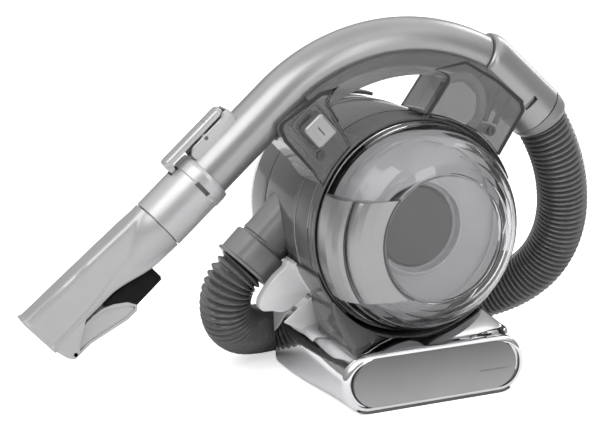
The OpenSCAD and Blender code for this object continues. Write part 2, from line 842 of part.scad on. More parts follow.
module crevice_nozzle() {
    color([0.74, 0.74, 0.75]) wand_frame() difference() {
        union() {
            nozzle_loft(0);
            for (y = [-10.4, 7.9]) translate([0, y + 2.5, 0]) rotate([90, 0, 0])
                linear_extrude(2.5)
                    polygon([[204, -6], [233, -6], [232, -18], [229.8, -21.8],
                             [224.5, -22], [214, -14]]);
        }
        difference() {
            translate([0.4, 0, 0]) nozzle_loft(1.9);
            translate([neck_s[1] - 5, -30, -30]) cube([5.4, 60, 60]);
        }
        along_x(bore_r - 2.2, neck_s[1] - 2, neck_s[1] + 12);
        along_x(bore_r - 0.36, neck_s[1] - 2, neck_s[1] + 5);
        translate([mouth_s - 0.6, -8.1, -6.1]) cube([3, 16.2, 28.2]);
        translate([pivot[0], 20, pivot[1]]) rotate([90, 0, 0]) cylinder(r = 1.52, h = 40);
    }
}

module brush_pin() {
    color([0.6, 0.6, 0.62]) wand_frame() translate([pivot[0], 10.4, pivot[1]])
        rotate([90, 0, 0]) cylinder(r = 1.5, h = 20.8);
}

module brush_flap() {
    color([0.76, 0.76, 0.77]) wand_frame() difference() {
        translate([0, 7.6, 0]) rotate([90, 0, 0]) linear_extrude(15.2)
            polygon([[230, -18.6], [229.4, -21.6], [226, -22.8], [214, -23.2], [184, -31],
                     [175, -31], [172.6, -28], [177, -20], [184, -14.6], [191.4, -11],
                     [200, -9.4], [212, -9.6], [221, -14.4], [228, -16.6]]);
        translate([pivot[0], 20, pivot[1]]) rotate([90, 0, 0]) cylinder(r = 1.56, h = 40);
    }
}

module brush_bristles() {
    color([0.05, 0.05, 0.05]) wand_frame() translate([0, 7.4, 0]) rotate([90, 0, 0])
        linear_extrude(14.8)
            polygon([[190, -11.4], [184, -14.3], [176.8, -19.6], [172.3, -28], [150, -29],
                     [146.8, -26], [147.6, -18.9], [158, -15.4], [168, -11.6], [176, -9.6],
                     [188, -9.3]]);
}

base_tray();
base_shell();
front_panel();
base_pads();
base_screws();
battery_cells();
cell_holder();
control_board();
charge_socket();
cradle();
lower_housing();
motor_housing();
front_housing();
rear_housing();
vent_cover();
vent_catch();
exhaust_foam();
fan_shroud();
motor_can();
motor_end_cap();
motor_rings();
motor_spider();
inlet_channel();
inlet_duct();
hose_cuff();
hose();
drum_band();
frame_front();
frame_rear();
frame_screws();
power_switch();
power_slider();
dust_bowl();
bowl_seal();
filter_frame();
filter_pleats();
filter_cap();
latch_grip();
latch_button();
impeller();
motor_shaft();
wand_grip();
wand_tube();
wand_elbow();
wand_cuff();
wand_collar();
lever_housing();
lever_pin();
lever_spring();
release_lever();
nozzle_neck();
crevice_nozzle();
brush_pin();
brush_flap();
brush_bristles();
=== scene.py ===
"""Handheld vacuum cleaner: the detailed pieces, materials, light and camera round the CAD frame."""
import math
import random
import bpy
import bmesh
from mathutils import Matrix, Vector


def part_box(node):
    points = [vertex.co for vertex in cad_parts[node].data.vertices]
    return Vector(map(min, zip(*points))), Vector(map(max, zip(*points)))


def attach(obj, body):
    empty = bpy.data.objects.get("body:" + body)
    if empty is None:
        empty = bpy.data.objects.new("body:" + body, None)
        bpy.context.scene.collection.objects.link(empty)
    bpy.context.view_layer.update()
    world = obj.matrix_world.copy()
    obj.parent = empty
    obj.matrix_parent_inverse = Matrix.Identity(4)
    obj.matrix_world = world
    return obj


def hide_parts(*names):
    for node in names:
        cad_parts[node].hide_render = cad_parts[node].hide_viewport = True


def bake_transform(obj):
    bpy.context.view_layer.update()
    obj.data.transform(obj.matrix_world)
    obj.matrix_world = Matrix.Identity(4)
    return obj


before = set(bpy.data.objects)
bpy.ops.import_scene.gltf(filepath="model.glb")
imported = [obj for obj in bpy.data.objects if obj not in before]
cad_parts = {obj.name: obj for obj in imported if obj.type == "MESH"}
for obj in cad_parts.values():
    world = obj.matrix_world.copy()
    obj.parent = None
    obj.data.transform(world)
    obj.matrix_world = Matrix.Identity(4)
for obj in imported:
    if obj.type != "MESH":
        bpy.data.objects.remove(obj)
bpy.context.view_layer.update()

# ---- driving sizes, in millimetres ----

MM = 0.001


def span(node):
    """Lowest and highest corner of a CAD node, in millimetres."""
    low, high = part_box(node)
    return Vector(low) / MM, Vector(high) / MM


drum_low, drum_high = span("motor_housing")
base_low, base_high = span("base_shell")
AXIS_Z = (drum_low.z + drum_high.z) / 2
HOUSING_R = (drum_high.x - drum_low.x) / 2
BAND_R = -span("drum_band")[0].x
BASE_HALF = (base_high.x - base_low.x) / 2
BASE_SHIFT = -(base_high.x + base_low.x) / 2
BASE_LEFT = BASE_HALF + BASE_SHIFT
BASE_FRONT, BASE_BACK = base_low.y, base_high.y
# radii of the base's long edges and of its rear corners
BASE_ROUND, BASE_CORNER = 21, 11
BASE_H, BASE_FLOOR = 44, 0.9
PANEL_W, PANEL_H, PANEL_LOW = 132.6, 37.4, 4.3
BOWL_FRONT = span("dust_bowl")[0].y
WALL = 2.5
# the wand lies in one plane: an arc about a centre, then a straight end that slopes down
WAND_Y = -20
ARC_X, ARC_Z, ARC_R = -4, 114.5, 144
SLOPE = 41.5
TUBE_R = 18
HOSE_D = 41
MOUTH_S = 236


# ---- places: matrices whose columns are a local frame's axes, in millimetres ----

def place(origin, x, y, z):
    """The matrix of a place, from its origin and its three axes."""
    columns = Matrix((x, y, z)).transposed().to_4x4()
    return Matrix.Translation(origin) @ columns


def facing(x, z):
    """Local X and Y are the world's X and Z, and local Z runs backwards, along the world's Y."""
    return place((x, 0, z), (1, 0, 0), (0, 0, 1), (0, 1, 0))


def polar(radius, degrees):
    """The two coordinates of a point at a radius and an angle."""
    return radius * math.cos(math.radians(degrees)), radius * math.sin(math.radians(degrees))


def arc_point(degrees):
    """A point of the wand's arc, at an angle right of its top."""
    turn = math.radians(degrees)
    return Vector((ARC_X + ARC_R * math.sin(turn), WAND_Y, ARC_Z + ARC_R * math.cos(turn)))


def arc_path(a0, a1, count):
    """Evenly spaced points of the wand's arc, between two angles."""
    return [arc_point(a0 + (a1 - a0) * k / count) for k in range(count + 1)]


FACING = facing(0, 0)
DRUM = facing(0, AXIS_Z)

WAND_TOP = arc_point(-SLOPE)
LEVEL, DROP = polar(1, SLOPE)
ALONG = Vector((-LEVEL, 0, -DROP))
OUTWARD = Vector((-DROP, 0, LEVEL))
# The wand's straight end: local X towards the nozzle, Y outwards, Z to the rear
WAND = place(WAND_TOP, ALONG, OUTWARD, (0, 1, 0))
# The same end, with local Z towards the nozzle, for what is turned about it
WAND_AXIS = place(WAND_TOP, OUTWARD, (0, 1, 0), ALONG)

# The inlet duct, from the hose's end up into the drum
DUCT_OUT = Vector((-107, 40, 85))
DUCT_IN = Vector((-58, 40, 134))
DUCT_WAY = (DUCT_IN - DUCT_OUT).normalized()
DUCT_UP = Vector((-DUCT_WAY.z, 0, DUCT_WAY.x))
DUCT = place(DUCT_OUT, DUCT_UP, (0, 1, 0), DUCT_WAY)


# ---- outlines ----

def rounded(points, radius=1.0, steps=4, closed=True):
    """The points with each corner rounded. A third number is that corner's own radius."""
    out = []
    count = len(points)
    for i, point in enumerate(points):
        own = point[2] if len(point) > 2 else radius
        here = Vector(point[:2])
        if own <= 0 or (not closed and i in (0, count - 1)):
            out.append(here)
            continue
        before = Vector(points[i - 1][:2]) - here
        after = Vector(points[(i + 1) % count][:2]) - here
        angle = before.angle(after)
        if angle > math.pi - 0.02:
            out.append(here)
            continue
        reach = min(own / math.tan(angle / 2), before.length * 0.49, after.length * 0.49)
        start = here + before.normalized() * reach
        end = here + after.normalized() * reach
        for k in range(steps + 1):
            t = k / steps
            out.append((1 - t) ** 2 * start + 2 * t * (1 - t) * here + t * t * end)
    return out


def oblong(x0, x1, y0, y1, radius=1.0, steps=4):
    """A rectangle with rounded corners."""
    return rounded([(x0, y0), (x1, y0), (x1, y1), (x0, y1)], radius, steps)


def arc(centre, radius, a0, a1, count):
    """Points of an arc between two angles, from the first axis towards the second."""
    turned = [polar(radius, a0 + (a1 - a0) * k / count) for k in range(count + 1)]
    return [(centre[0] + x, centre[1] + y, 0) for x, y in turned]


def curve_through(points, per):
    """A smooth open curve through the points, with as many steps between each two."""
    points = [Vector(p) for p in points]
    out = []
    for i in range(len(points) - 1):
        b, c = points[i], points[i + 1]
        a = points[i - 1] if i else 2 * b - c
        d = points[i + 2] if i + 2 < len(points) else 2 * c - b
        for k in range(per):
            t = k / per
            out.append(0.5 * (2 * b + (c - a) * t + (2 * a - 5 * b + 4 * c - d) * t * t
                              + (3 * b - a - 3 * c + d) * t ** 3))
    return [*out, points[-1]]


def distances(points):
    """How far along an open path each of its points lies."""
    out = [0.0]
    for a, b in zip(points, points[1:]):
        out.append(out[-1] + (b - a).length)
    return out


def spaced(points, count):
    """Points spaced evenly along an open path, both ends kept."""
    points = [Vector(p) for p in points]
    at = distances(points)
    out, j = [], 0
    for k in range(count):
        target = at[-1] * k / (count - 1)
        while j < len(points) - 2 and at[j + 1] < target:
            j += 1
        share = (target - at[j]) / max(at[j + 1] - at[j], 1e-9)
        out.append(points[j].lerp(points[j + 1], min(max(share, 0), 1)))
    return out


def eased(low, high, value):
    """Rises smoothly from 0 to 1 as the value goes from low to high."""
    t = min(max((value - low) / (high - low), 0), 1)
    return t * t * (3 - 2 * t)


# ---- meshes, from millimetres to metres ----

WORLD = Matrix.Identity(4)
TOUCHING = 0.002 * MM


def mesh_from(verts, faces, where=WORLD):
    """A mesh from points in a place, with doubled points merged and the faces turned outwards."""
    mesh = bpy.data.meshes.new("piece")
    mesh.from_pydata([MM * (where @ Vector(v)) for v in verts], [], faces)
    work = bmesh.new()
    work.from_mesh(mesh)
    bmesh.ops.remove_doubles(work, verts=work.verts, dist=TOUCHING)
    bmesh.ops.dissolve_degenerate(work, edges=work.edges, dist=TOUCHING)
    bmesh.ops.recalc_face_normals(work, faces=work.faces)
    work.to_mesh(mesh)
    work.free()
    return mesh


def skin(rings, where=WORLD, loop=False):
    """A surface through rings of equally many points, capped at both ends or joined round."""
    count = len(rings[0])
    verts = [v for ring in rings for v in ring]
    faces = []
    for i in range(len(rings) if loop else len(rings) - 1):
        a, b = i * count, (i + 1) % len(rings) * count
        faces += [(a + k, a + (k + 1) % count, b + (k + 1) % count, b + k)
                  for k in range(count)]
    if not loop:
        faces += [tuple(range(count))[::-1], tuple(range(len(verts) - count, len(verts)))]
    return mesh_from(verts, faces, where)


def lathe(profile, where=DRUM, a0=0, a1=360, steps=128):
    """A closed profile of radius and height, turned about the place's Z axis."""
    full = abs(a1 - a0) >= 360
    rings = []
    for k in range(steps if full else steps + 1):
        angle = a0 + (a1 - a0) * k / steps
        rings.append([(*polar(p[0], angle), p[1]) for p in profile])
    return skin(rings, where, loop=full)


def rod(radius, low, high, where=DRUM, steps=128):
    """A cylinder about the place's Z axis, for cutting."""
    return lathe([(0, low), (radius, low), (radius, high), (0, high)], where, steps=steps)


def plate(outlines, low, high, where=FACING, bevel=0.6):
    """Outlines filled between two heights, with rounded edges. One inside another is a hole."""
    curve = bpy.data.curves.new("outline", "CURVE")
    curve.dimensions = "2D"
    curve.fill_mode = "BOTH"
    for outline in outlines:
        spline = curve.splines.new("POLY")
        spline.points.add(len(outline) - 1)
        for point, corner in zip(spline.points, outline):
            point.co = (corner[0], corner[1], 0, 1)
        spline.use_cyclic_u = True
    curve.extrude = (high - low) / 2 - bevel
    curve.bevel_depth = bevel
    curve.bevel_resolution = 2
    curve.offset = -bevel
    holder = bpy.data.objects.new("outline", curve)
    mesh = bpy.data.meshes.new_from_object(holder)
    bpy.data.objects.remove(holder)
    bpy.data.curves.remove(curve)
    middle = Vector((0, 0, (low + high) / 2))
    verts = [v.co + middle for v in mesh.vertices]
    faces = [tuple(p.vertices) for p in mesh.polygons]
    bpy.data.meshes.remove(mesh)
    return mesh_from(verts, faces, where)


def track(path, side):
    """(point, side, across) along a path, with the side carried so that it doesn't twist."""
    out = []
    for i, point in enumerate(path):
        ahead = path[min(i + 1, len(path) - 1)] - path[max(i - 1, 0)]
        ahead.normalize()
        side = (side - side.dot(ahead) * ahead).normalized()
        out.append((point, side.copy(), ahead.cross(side)))
    return out


def ring_at(stop, radius, sides):
    """A circle of points round one stop of a track."""
    point, side, across = stop
    turns = [math.tau * k / sides for k in range(sides)]
    return [point + radius * (math.cos(turn) * side + math.sin(turn) * across) for turn in turns]


def pipe(path, outer, inner, side, sides=72):
    """A hollow tube along a path. outer and inner give the radii at each share of its length."""
    stops = track(path, side)
    last = len(path) - 1
    rings = [ring_at(s, outer(i / last), sides) for i, s in enumerate(stops)]
    rings += [ring_at(s, inner(i / last), sides) for i, s in reversed(list(enumerate(stops)))]
    return skin(rings, loop=True)


def joined(*meshes):
    """Several meshes as one."""
    whole = bmesh.new()
    for mesh in meshes:
        whole.from_mesh(mesh)
        bpy.data.meshes.remove(mesh)
    out = bpy.data.meshes.new("piece")
    whole.to_mesh(out)
    whole.free()
    return out


def linked(name, data):
    """A new object in the scene."""
    obj = bpy.data.objects.new(name, data)
    bpy.context.scene.collection.objects.link(obj)
    return obj


def baked(holder):
    """What an object's modifiers make of its mesh."""
    bpy.context.view_layer.update()
    ready = holder.evaluated_get(bpy.context.evaluated_depsgraph_get())
    return bpy.data.meshes.new_from_object(ready)


def carved(mesh, *cutters, how="DIFFERENCE"):
    """The mesh with the cutters taken away, or added or kept in common, as how says."""
    holder = linked("carved", mesh)
    tools = [linked("cutter", cutter) for cutter in cutters]
    for tool in tools:
        change = holder.modifiers.new("cut", "BOOLEAN")
        change.operation = how
        change.solver = "EXACT"
        change.object = tool
    out = baked(holder)
    for item in [holder, *tools]:
        bpy.data.objects.remove(item)
    return out


def softened(mesh, width=0.6, segments=3, angle=30):
    """The mesh with its sharp edges rounded."""
    holder = linked("softened", mesh)
    change = holder.modifiers.new("round", "BEVEL")
    change.width = width * MM
    change.segments = segments
    change.limit_method = "ANGLE"
    change.angle_limit = math.radians(angle)
    out = baked(holder)
    bpy.data.objects.remove(holder)
    return out


def prism(outline, low, high, where=FACING):
    """A solid with an outline's shape between two heights, for cutting."""
    return skin([[(p[0], p[1], height) for p in outline] for height in (low, high)], where)


def box(x0, x1, y0, y1, z0, z1, where=WORLD):
    """A solid with six flat sides, mostly for cutting."""
    ends = [[(x, y0, z0), (x, y1, z0), (x, y1, z1), (x, y0, z1)] for x in (x0, x1)]
    return skin(ends, where)


def piece(name, mesh, material, body="root", stands_for=(), crease=32):
    """Puts a mesh in the scene as a named piece that moves with a body. Its one colour slot holds
    its material."""
    obj = linked(name, mesh)
    mesh.materials.clear()
    mesh.materials.append(material)
    mesh.shade_smooth()
    mesh.set_sharp_from_angle(angle=math.radians(crease))
    if body:
        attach(obj, body)
    if stands_for:
        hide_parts(*stands_for)
    return obj


# ---- materials ----

def finish(name, shade, rough, metal=0.0, grain=0.03, grain_size=0.5, cloud=0.05, coat=0.0,
           clear=0.0, streak=False, speck=0.0, ior=1.46, painted_floor_reflection=None):
    """A moulded, painted or metal surface. Shade is its grey, and grain and grain_size are the
    height and width of its texture in millimetres. cloud varies shade and gloss over a few
    centimetres, streak draws the gloss out into lines, and speck is paint with flakes in it. The
    last argument is two heights in millimetres, and how many times lighter the shade is at the
    lower one: a painted reflection, the shade painted lighter towards the bottom as if the
    surface mirrored the pale floor."""
    mat = bpy.data.materials.new(name)
    mat.use_nodes = True
    nodes, links = mat.node_tree.nodes, mat.node_tree.links
    shader = nodes["Principled BSDF"]
    where = nodes.new("ShaderNodeTexCoord").outputs["Object"]
    tint = shade if isinstance(shade, tuple) else (shade, shade, shade * 1.01)

    def noise(size, detail=2.0, stretch=None):
        source = where
        if stretch:
            mapping = nodes.new("ShaderNodeMapping")
            mapping.inputs["Scale"].default_value = stretch
            links.new(source, mapping.inputs["Vector"])
            source = mapping.outputs["Vector"]
        node = nodes.new("ShaderNodeTexNoise")
        node.inputs["Scale"].default_value = 1 / (size * MM)
        node.inputs["Detail"].default_value = detail
        links.new(source, node.inputs["Vector"])
        return node.outputs["Fac"]

    def mapped(value, source, target):
        node = nodes.new("ShaderNodeMapRange")
        sockets = ("From Min", "From Max", "To Min", "To Max")
        for socket, number in zip(sockets, (*source, *target)):
            node.inputs[socket].default_value = number
        links.new(value, node.inputs["Value"])
        return node.outputs["Result"]

    def about(value, middle, share):
        """Noise spread over a share of a middle value to either side."""
        return mapped(value, (0.3, 0.7), (middle * (1 - share), middle * (1 + share)))

    def tinted(value):
        node = nodes.new("ShaderNodeVectorMath")
        node.operation = "SCALE"
        node.inputs[0].default_value = tint
        links.new(value, node.inputs["Scale"])
        return node.outputs["Vector"]

    def times(a, b):
        node = nodes.new("ShaderNodeMath")
        node.operation = "MULTIPLY"
        links.new(a, node.inputs[0])
        links.new(b, node.inputs[1])
        return node.outputs["Value"]

    level = about(noise(26, 4.0), 1, cloud)
    if speck:
        level = times(level, about(noise(0.35, 1.0), 1, speck))
    # painted reflection: the shade is made lighter towards the lower height, standing in for the pale
    # floor mirrored in the surface
    if painted_floor_reflection:
        low, high, lighter = painted_floor_reflection
        parts = nodes.new("ShaderNodeSeparateXYZ")
        links.new(where, parts.inputs[0])
        level = times(level, mapped(parts.outputs["Z"], (low * MM, high * MM), (lighter, 1)))
    links.new(tinted(level), shader.inputs["Base Color"])
    wear = noise(9, 3.0, (0.12, 1, 1) if streak else (1, 1, 1))
    links.new(about(wear, rough, 1.6 * cloud), shader.inputs["Roughness"])
    if grain:
        bump = nodes.new("ShaderNodeBump")
        bump.inputs["Strength"].default_value = 1.0
        bump.inputs["Distance"].default_value = grain * MM
        links.new(noise(grain_size, 2.0), bump.inputs["Height"])
        links.new(bump.outputs["Normal"], shader.inputs["Normal"])
    shader.inputs["Metallic"].default_value = metal
    shader.inputs["Coat Weight"].default_value = coat
    shader.inputs["Coat Roughness"].default_value = 0.08
    shader.inputs["Transmission Weight"].default_value = clear
    shader.inputs["IOR"].default_value = ior
    return mat


CHROME = finish("chrome", 0.78, 0.045, metal=1.0, grain=0.0012, grain_size=14, cloud=0.03)
SILVER = finish("silver_paint", 0.34, 0.3, metal=0.75, grain=0.004, cloud=0.03, speck=0.04)
SILVER_BLADE = finish("blade_silver_paint", 0.42, 0.38, metal=0.5, grain=0.004, cloud=0.03,
                      speck=0.03)
PALE_SILVER = finish("pale_silver_paint", 0.46, 0.33, metal=0.6, grain=0.004, cloud=0.03,
                     speck=0.03)
WHITE_SILVER = finish("white_silver_paint", 0.7, 0.34, metal=0.2, grain=0.003, cloud=0.02)
CARRIER = finish("carrier_plastic", 0.56, 0.35, grain=0.006, cloud=0.05)
HOSE_GREY = finish("hose_plastic", 0.1, 0.25, grain=0.008, grain_size=0.8, cloud=0.08, coat=0.3)
CUFF_GREY = finish("cuff_plastic", 0.24, 0.38, metal=0.4, grain=0.006, cloud=0.05)
DARK = finish("dark_plastic", 0.09, 0.32, grain=0.01, grain_size=0.6, cloud=0.06)
# The panel's shade is painted lighter towards its bottom edge: a painted reflection of the pale
# floor.
PANEL = finish("panel_lacquer", 0.1, 0.2, grain=0.001, grain_size=3, cloud=0.03, coat=0.5,
               painted_floor_reflection=(5, 42, 3.4))
BLACK_RUBBER = finish("black_rubber", 0.03, 0.6, grain=0.02, cloud=0.1)
STEEL = finish("screw_steel", 0.45, 0.28, metal=1.0, grain=0.002, cloud=0.05, streak=True)
PALE = finish("pale_plastic", 0.78, 0.35, grain=0.008, cloud=0.03)
FILTER_WHITE = finish("filter_fleece", 0.7, 0.8, grain=0.12, grain_size=0.7, cloud=0.08)
CELL = finish("cell_sleeve", (0.08, 0.2, 0.34), 0.35, grain=0.004, cloud=0.04)
BOARD = finish("board_lacquer", (0.03, 0.14, 0.06), 0.3, grain=0.01, cloud=0.08)
FAN = finish("fan_plastic", 0.6, 0.45, grain=0.01, cloud=0.05)
BRISTLE = finish("bristle", 0.006, 0.5, grain=0.0, cloud=0.2, ior=1.25)
BOWL_CLEAR = finish("bowl_clear", 0.9, 0.03, clear=1.0, grain=0.0006, grain_size=9, cloud=0.02)
SMOKE = finish("smoke_clear", 0.46, 0.06, clear=0.85, grain=0.0, cloud=0.05)
SMOKE_DEEP = finish("smoke_deep", 0.15, 0.13, clear=0.3, grain=0.002, grain_size=4, cloud=0.06)
# Near-black used as painted shade: in the gap round the front panel and along the smoke frame's
# outlines.
PAINTED_SHADE = finish("shadow_plastic", 0.02, 0.5, grain=0.004, cloud=0.1)


# ---- camera, floor and light ----

# Places, sizes and distances here are in metres
CAMERA_AT = Vector((-0.4793, -0.9823, 0.3837))
CAMERA_TURN = (22.36, 13.38, -0.83)
CAMERA_LENS = 88.1
FLOOR_REACH = 30
FLOOR_GLOW = 0.6
# The surroundings' brightness against the sine of the height above the horizon
SKY = [(0.0, 0.3), (0.3, 0.4), (0.52, 0.75), (0.64, 1.25), (0.82, 1.3), (1.0, 0.95)]


def camera():
    """Stands left of the front and a little above, with a hair of roll."""
    yaw, pitch, roll = (math.radians(a) for a in CAMERA_TURN)
    ahead = Vector((math.sin(yaw) * math.cos(pitch), math.cos(yaw) * math.cos(pitch),
                    -math.sin(pitch)))
    level = Vector((math.cos(yaw), -math.sin(yaw), 0))
    upright = level.cross(ahead)
    right = level * math.cos(roll) + upright * math.sin(roll)
    data = bpy.data.cameras.new("camera")
    data.lens = CAMERA_LENS
    data.sensor_width = 36
    obj = linked("camera", data)
    obj.matrix_world = place(CAMERA_AT, right, right.cross(ahead), -ahead)
    bpy.context.scene.camera = obj


def area_light(name, position, target, size, power):
    """A soft box that points at a target."""
    data = bpy.data.lights.new(name, "AREA")
    data.shape = "RECTANGLE"
    data.size, data.size_y = size
    data.energy = power
    obj = linked(name, data)
    aim = Vector(target) - Vector(position)
    turn = aim.to_track_quat("-Z", "Y").to_matrix().to_4x4()
    obj.matrix_world = Matrix.Translation(position) @ turn


def floor():
    """White paper. Its glow is only in what the camera sees directly, so it lights nothing."""
    far = FLOOR_REACH
    mesh = bpy.data.meshes.new("floor")
    corners = [(-far, -far, 0), (far, -far, 0), (far, far, 0), (-far, far, 0)]
    mesh.from_pydata(corners, [], [(0, 1, 2, 3)])
    paper = finish("floor_paper", 0.93, 0.7, grain=0.0, cloud=0.005)
    nodes, links = paper.node_tree.nodes, paper.node_tree.links
    shader = nodes["Principled BSDF"]
    shader.inputs["Emission Color"].default_value = (1, 1, 1, 1)
    strength = nodes.new("ShaderNodeMath")
    strength.operation = "MULTIPLY"
    strength.inputs[1].default_value = FLOOR_GLOW
    seen = nodes.new("ShaderNodeLightPath")
    links.new(seen.outputs["Is Camera Ray"], strength.inputs[0])
    links.new(strength.outputs[0], shader.inputs["Emission Strength"])
    mesh.materials.append(paper)
    linked("floor", mesh)


def surroundings():
    """White to the camera. To the object they are bright above and darken to the horizon."""
    world = bpy.data.worlds.new("surroundings")
    bpy.context.scene.world = world
    world.use_nodes = True
    nodes, links = world.node_tree.nodes, world.node_tree.links
    back = nodes["Background"]
    where = nodes.new("ShaderNodeTexCoord")
    parts = nodes.new("ShaderNodeSeparateXYZ")
    ramp = nodes.new("ShaderNodeValToRGB")
    links.new(where.outputs["Generated"], parts.inputs[0])
    links.new(parts.outputs["Z"], ramp.inputs["Fac"])
    for k, (at, level) in enumerate(SKY):
        stop = ramp.color_ramp.elements[k] if k < 2 else ramp.color_ramp.elements.new(at)
        stop.position = at
        stop.color = (level, level, level, 1)
    seen = nodes.new("ShaderNodeLightPath")
    blend = nodes.new("ShaderNodeMix")
    blend.data_type = "RGBA"
    links.new(seen.outputs["Is Camera Ray"], blend.inputs["Factor"])
    links.new(ramp.outputs["Color"], blend.inputs[6])
    blend.inputs[7].default_value = (1.0, 1.0, 1.0, 1)
    links.new(blend.outputs[2], back.inputs["Color"])
    back.inputs["Strength"].default_value = 1.0


def lights():
    """Three soft boxes: the key from the left, one behind on the right and one in front."""
    area_light("key", (-1.1, -0.9, 1.5), (0, 0, 0.15), (1.5, 1.2), 13)
    area_light("rim", (1.3, 0.7, 0.9), (0, 0, 0.12), (0.5, 1.0), 5)
    area_light("front", (0.5, -1.7, 0.7), (0, 0, 0.1), (0.4, 1.1), 4)
    bpy.context.scene.view_settings.view_transform = "Standard"


# ---- hose ----

HOSE_ROUTE = [
    (118.1, -20, 190.8), (128, -19.5, 173.5), (137, -17, 154), (144, -12, 133),
    (148.5, -5, 110), (149, 5, 87), (144, 18, 65), (133, 34, 47), (118, 52, 34),
    (101, 68, 26), (82, 80, 22), (58, 85, 21), (30, 86, 20.8), (0, 86, 20.8),
    (-25, 85.5, 20.8), (-46, 84, 20.8), (-66, 81, 20.8), (-86, 74.5, 22.5),
    (-102, 64, 28), (-113.5, 54, 38), (-119.5, 47, 51), (-120, 42.5, 65),
    (-115, 40.5, 77), (-107, 40, 85)
]


def hose():
    """Corrugated tube: rounded ribs between narrow valleys, evenly spaced along the route."""
    pitch, per_rib, crest, valley = 4.35, 8, HOSE_D / 2 - 0.5, HOSE_D / 2 - 4.0
    smooth = curve_through(HOSE_ROUTE, 16)
    length = distances(smooth)[-1]
    path = spaced(smooth, round(length / pitch) * per_rib + 1)
    rings = []
    for k, stop in enumerate(track(path, Vector((0, 1, 0)))):
        swell = 0.5 - 0.5 * math.cos(math.tau * k / per_rib)
        rings.append(ring_at(stop, valley + (crest - valley) * swell ** 0.75, 44))
    tube = piece("hose_tube", skin(rings), HOSE_GREY, body=None, stands_for=["hose"], crease=80)
    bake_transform(tube)


# ---- base ----

# How many points a base side has on its lower corner, its wall and its top
FOOT_POINTS, WALL_POINTS, TOP_POINTS = 16, 26, 14
# how much smaller the lower and upper corner's radius is where the base is square
SQUARER = (15, 11)
# where the risen wall ends beside the drum, on the left and on the right
SHOULDERS = (46.0, 40.5)
# how steeply the top runs from the shoulder down to the drum's saddle
TOP_LEAN = 0.86


def drum_underside(radius, x):
    """Height of the lower half of a circle round the drum's axis."""
    return AXIS_Z - math.sqrt(max(radius ** 2 - x ** 2, 0))


def base_side(mirror, inset, wing, saddle, square):
    """One side of the base in X and Z, from under its middle up to the drum's saddle, which it
    meets at a radius. wing is 0 where the side ends in the flat top and 1 where it rises beside
    the drum, and square is 0 where its corners are full rounds and 1 where they are tight.
    Distances are from the base's middle, and mirror is -1 on the left."""
    half = BASE_HALF - inset
    foot_r, r = (BASE_ROUND - shrink * square - inset for shrink in SQUARER)
    shift = -BASE_SHIFT * mirror
    foot_top = (half, inset + foot_r)
    plain = arc((half - r, BASE_H - inset - r), r, 0, 90, 18)
    plain = spaced([foot_top, *[p[:2] for p in plain]], WALL_POINTS)
    shoulder = SHOULDERS[mirror > 0] - inset
    risen = rounded([(*foot_top, 0), (half, shoulder, 6), (half - 6.5, shoulder + 4.5, 0)], 0, 8)
    wall = [a.lerp(b, wing) for a, b in zip(plain, spaced(risen, WALL_POINTS))]
    foot = arc((half - foot_r, inset + foot_r), foot_r, -90, 0, 15)
    # from the shoulder the top runs in to the saddle along a line
    start = wall[-1]
    lean = TOP_LEAN * wing

    def above(x):
        return start.y + (start.x - x) * lean - drum_underside(saddle, x + shift)

    low, high = -shift, start.x
    for _ in range(40):
        middle = (low + high) / 2
        low, high = (middle, high) if above(middle) > 0 else (low, middle)
    meet = Vector((low, start.y + (start.x - low) * lean))
    top = spaced([start, meet], TOP_POINTS)
    side = spaced([p[:2] for p in foot], FOOT_POINTS) + wall[1:] + top[1:]
    return [Vector((mirror * p.x - BASE_SHIFT, p.y)) for p in side]


def base_ring(y, inset=0.0):
    """The base's whole outline at one depth, as equally many points at every depth."""
    saddle = BAND_R - 2.7 + 5.9 * eased(-57, -45.6, y) - inset
    right = base_side(1, inset, eased(-73, -57, y), saddle, 0)
    square = eased(-80, 30, y)
    flat, risen = (base_side(-1, inset, wing, saddle, square) for wing in (0, 1))
    left = []
    for a, b in zip(flat, risen):
        step = 4 + 20 * eased(-60, -BASE_LEFT, a.x)
        left.append(a.lerp(b, eased(step, step + 7, y)))
    hollow = []
    for k in range(1, 56):
        point = right[-1].lerp(left[-1], k / 56)
        point.y = min(point.y, drum_underside(saddle, point.x))
        hollow.append(point)
    under = [left[0].lerp(right[0], k / 8) for k in range(1, 8)]
    return [(p.x, y, max(p.y, BASE_FLOOR)) for p in right + hollow + left[::-1] + under]


def base():
    """Chromed body: a stadium in front, risen beside the drum, with the charging socket's hole."""
    fillet, rim_width = 5.2, 4.6
    rings = [base_ring(BASE_FRONT + 3.2, 9.0), base_ring(BASE_FRONT + 3.0, rim_width + 0.3),
             base_ring(BASE_FRONT + 0.9, rim_width + 0.2)]
    for k in range(11):
        back, out = polar(1, 9 * k)
        rings.append(base_ring(BASE_FRONT + fillet * (1 - back), rim_width * (1 - out)))
    # stations lie closer where the sides rise beside the drum
    stations = [-76, -74, *range(-72, -43), -42, -38, -32, -26, -20, -14, -10, *range(-8, 16),
                18, 24, 30, 38]
    rings += [base_ring(y) for y in stations]
    for k in range(11):
        inwards, back = polar(1, 9 * k)
        rings.append(base_ring(BASE_BACK - BASE_CORNER * (1 - back),
                               BASE_CORNER * (1 - inwards) * 0.9))
    socket = place((BASE_HALF - BASE_SHIFT, -40, BASE_ROUND), (0, 1, 0), (0, 0, 1), (1, 0, 0))
    body = carved(skin(rings), rod(5.2, -16, 4, socket, 48))
    piece("base_body", body, CHROME, stands_for=["base_shell"], crease=40)
    rim = rounded([(5.1, -3), (6.3, -0.2), (6.3, 0.5), (5.3, 0.5), (2.9, -0.8), (2.9, -10),
                   (5.1, -10)], 0.3)
    piece("socket_rim", lathe(rim, socket, steps=64), DARK, stands_for=["charge_socket"])
    piece("socket_pin", lathe([(0, -12), (0.9, -12), (0.9, -2.4), (0.5, -1.8), (0, -1.8)],
                              socket, steps=24), STEEL)


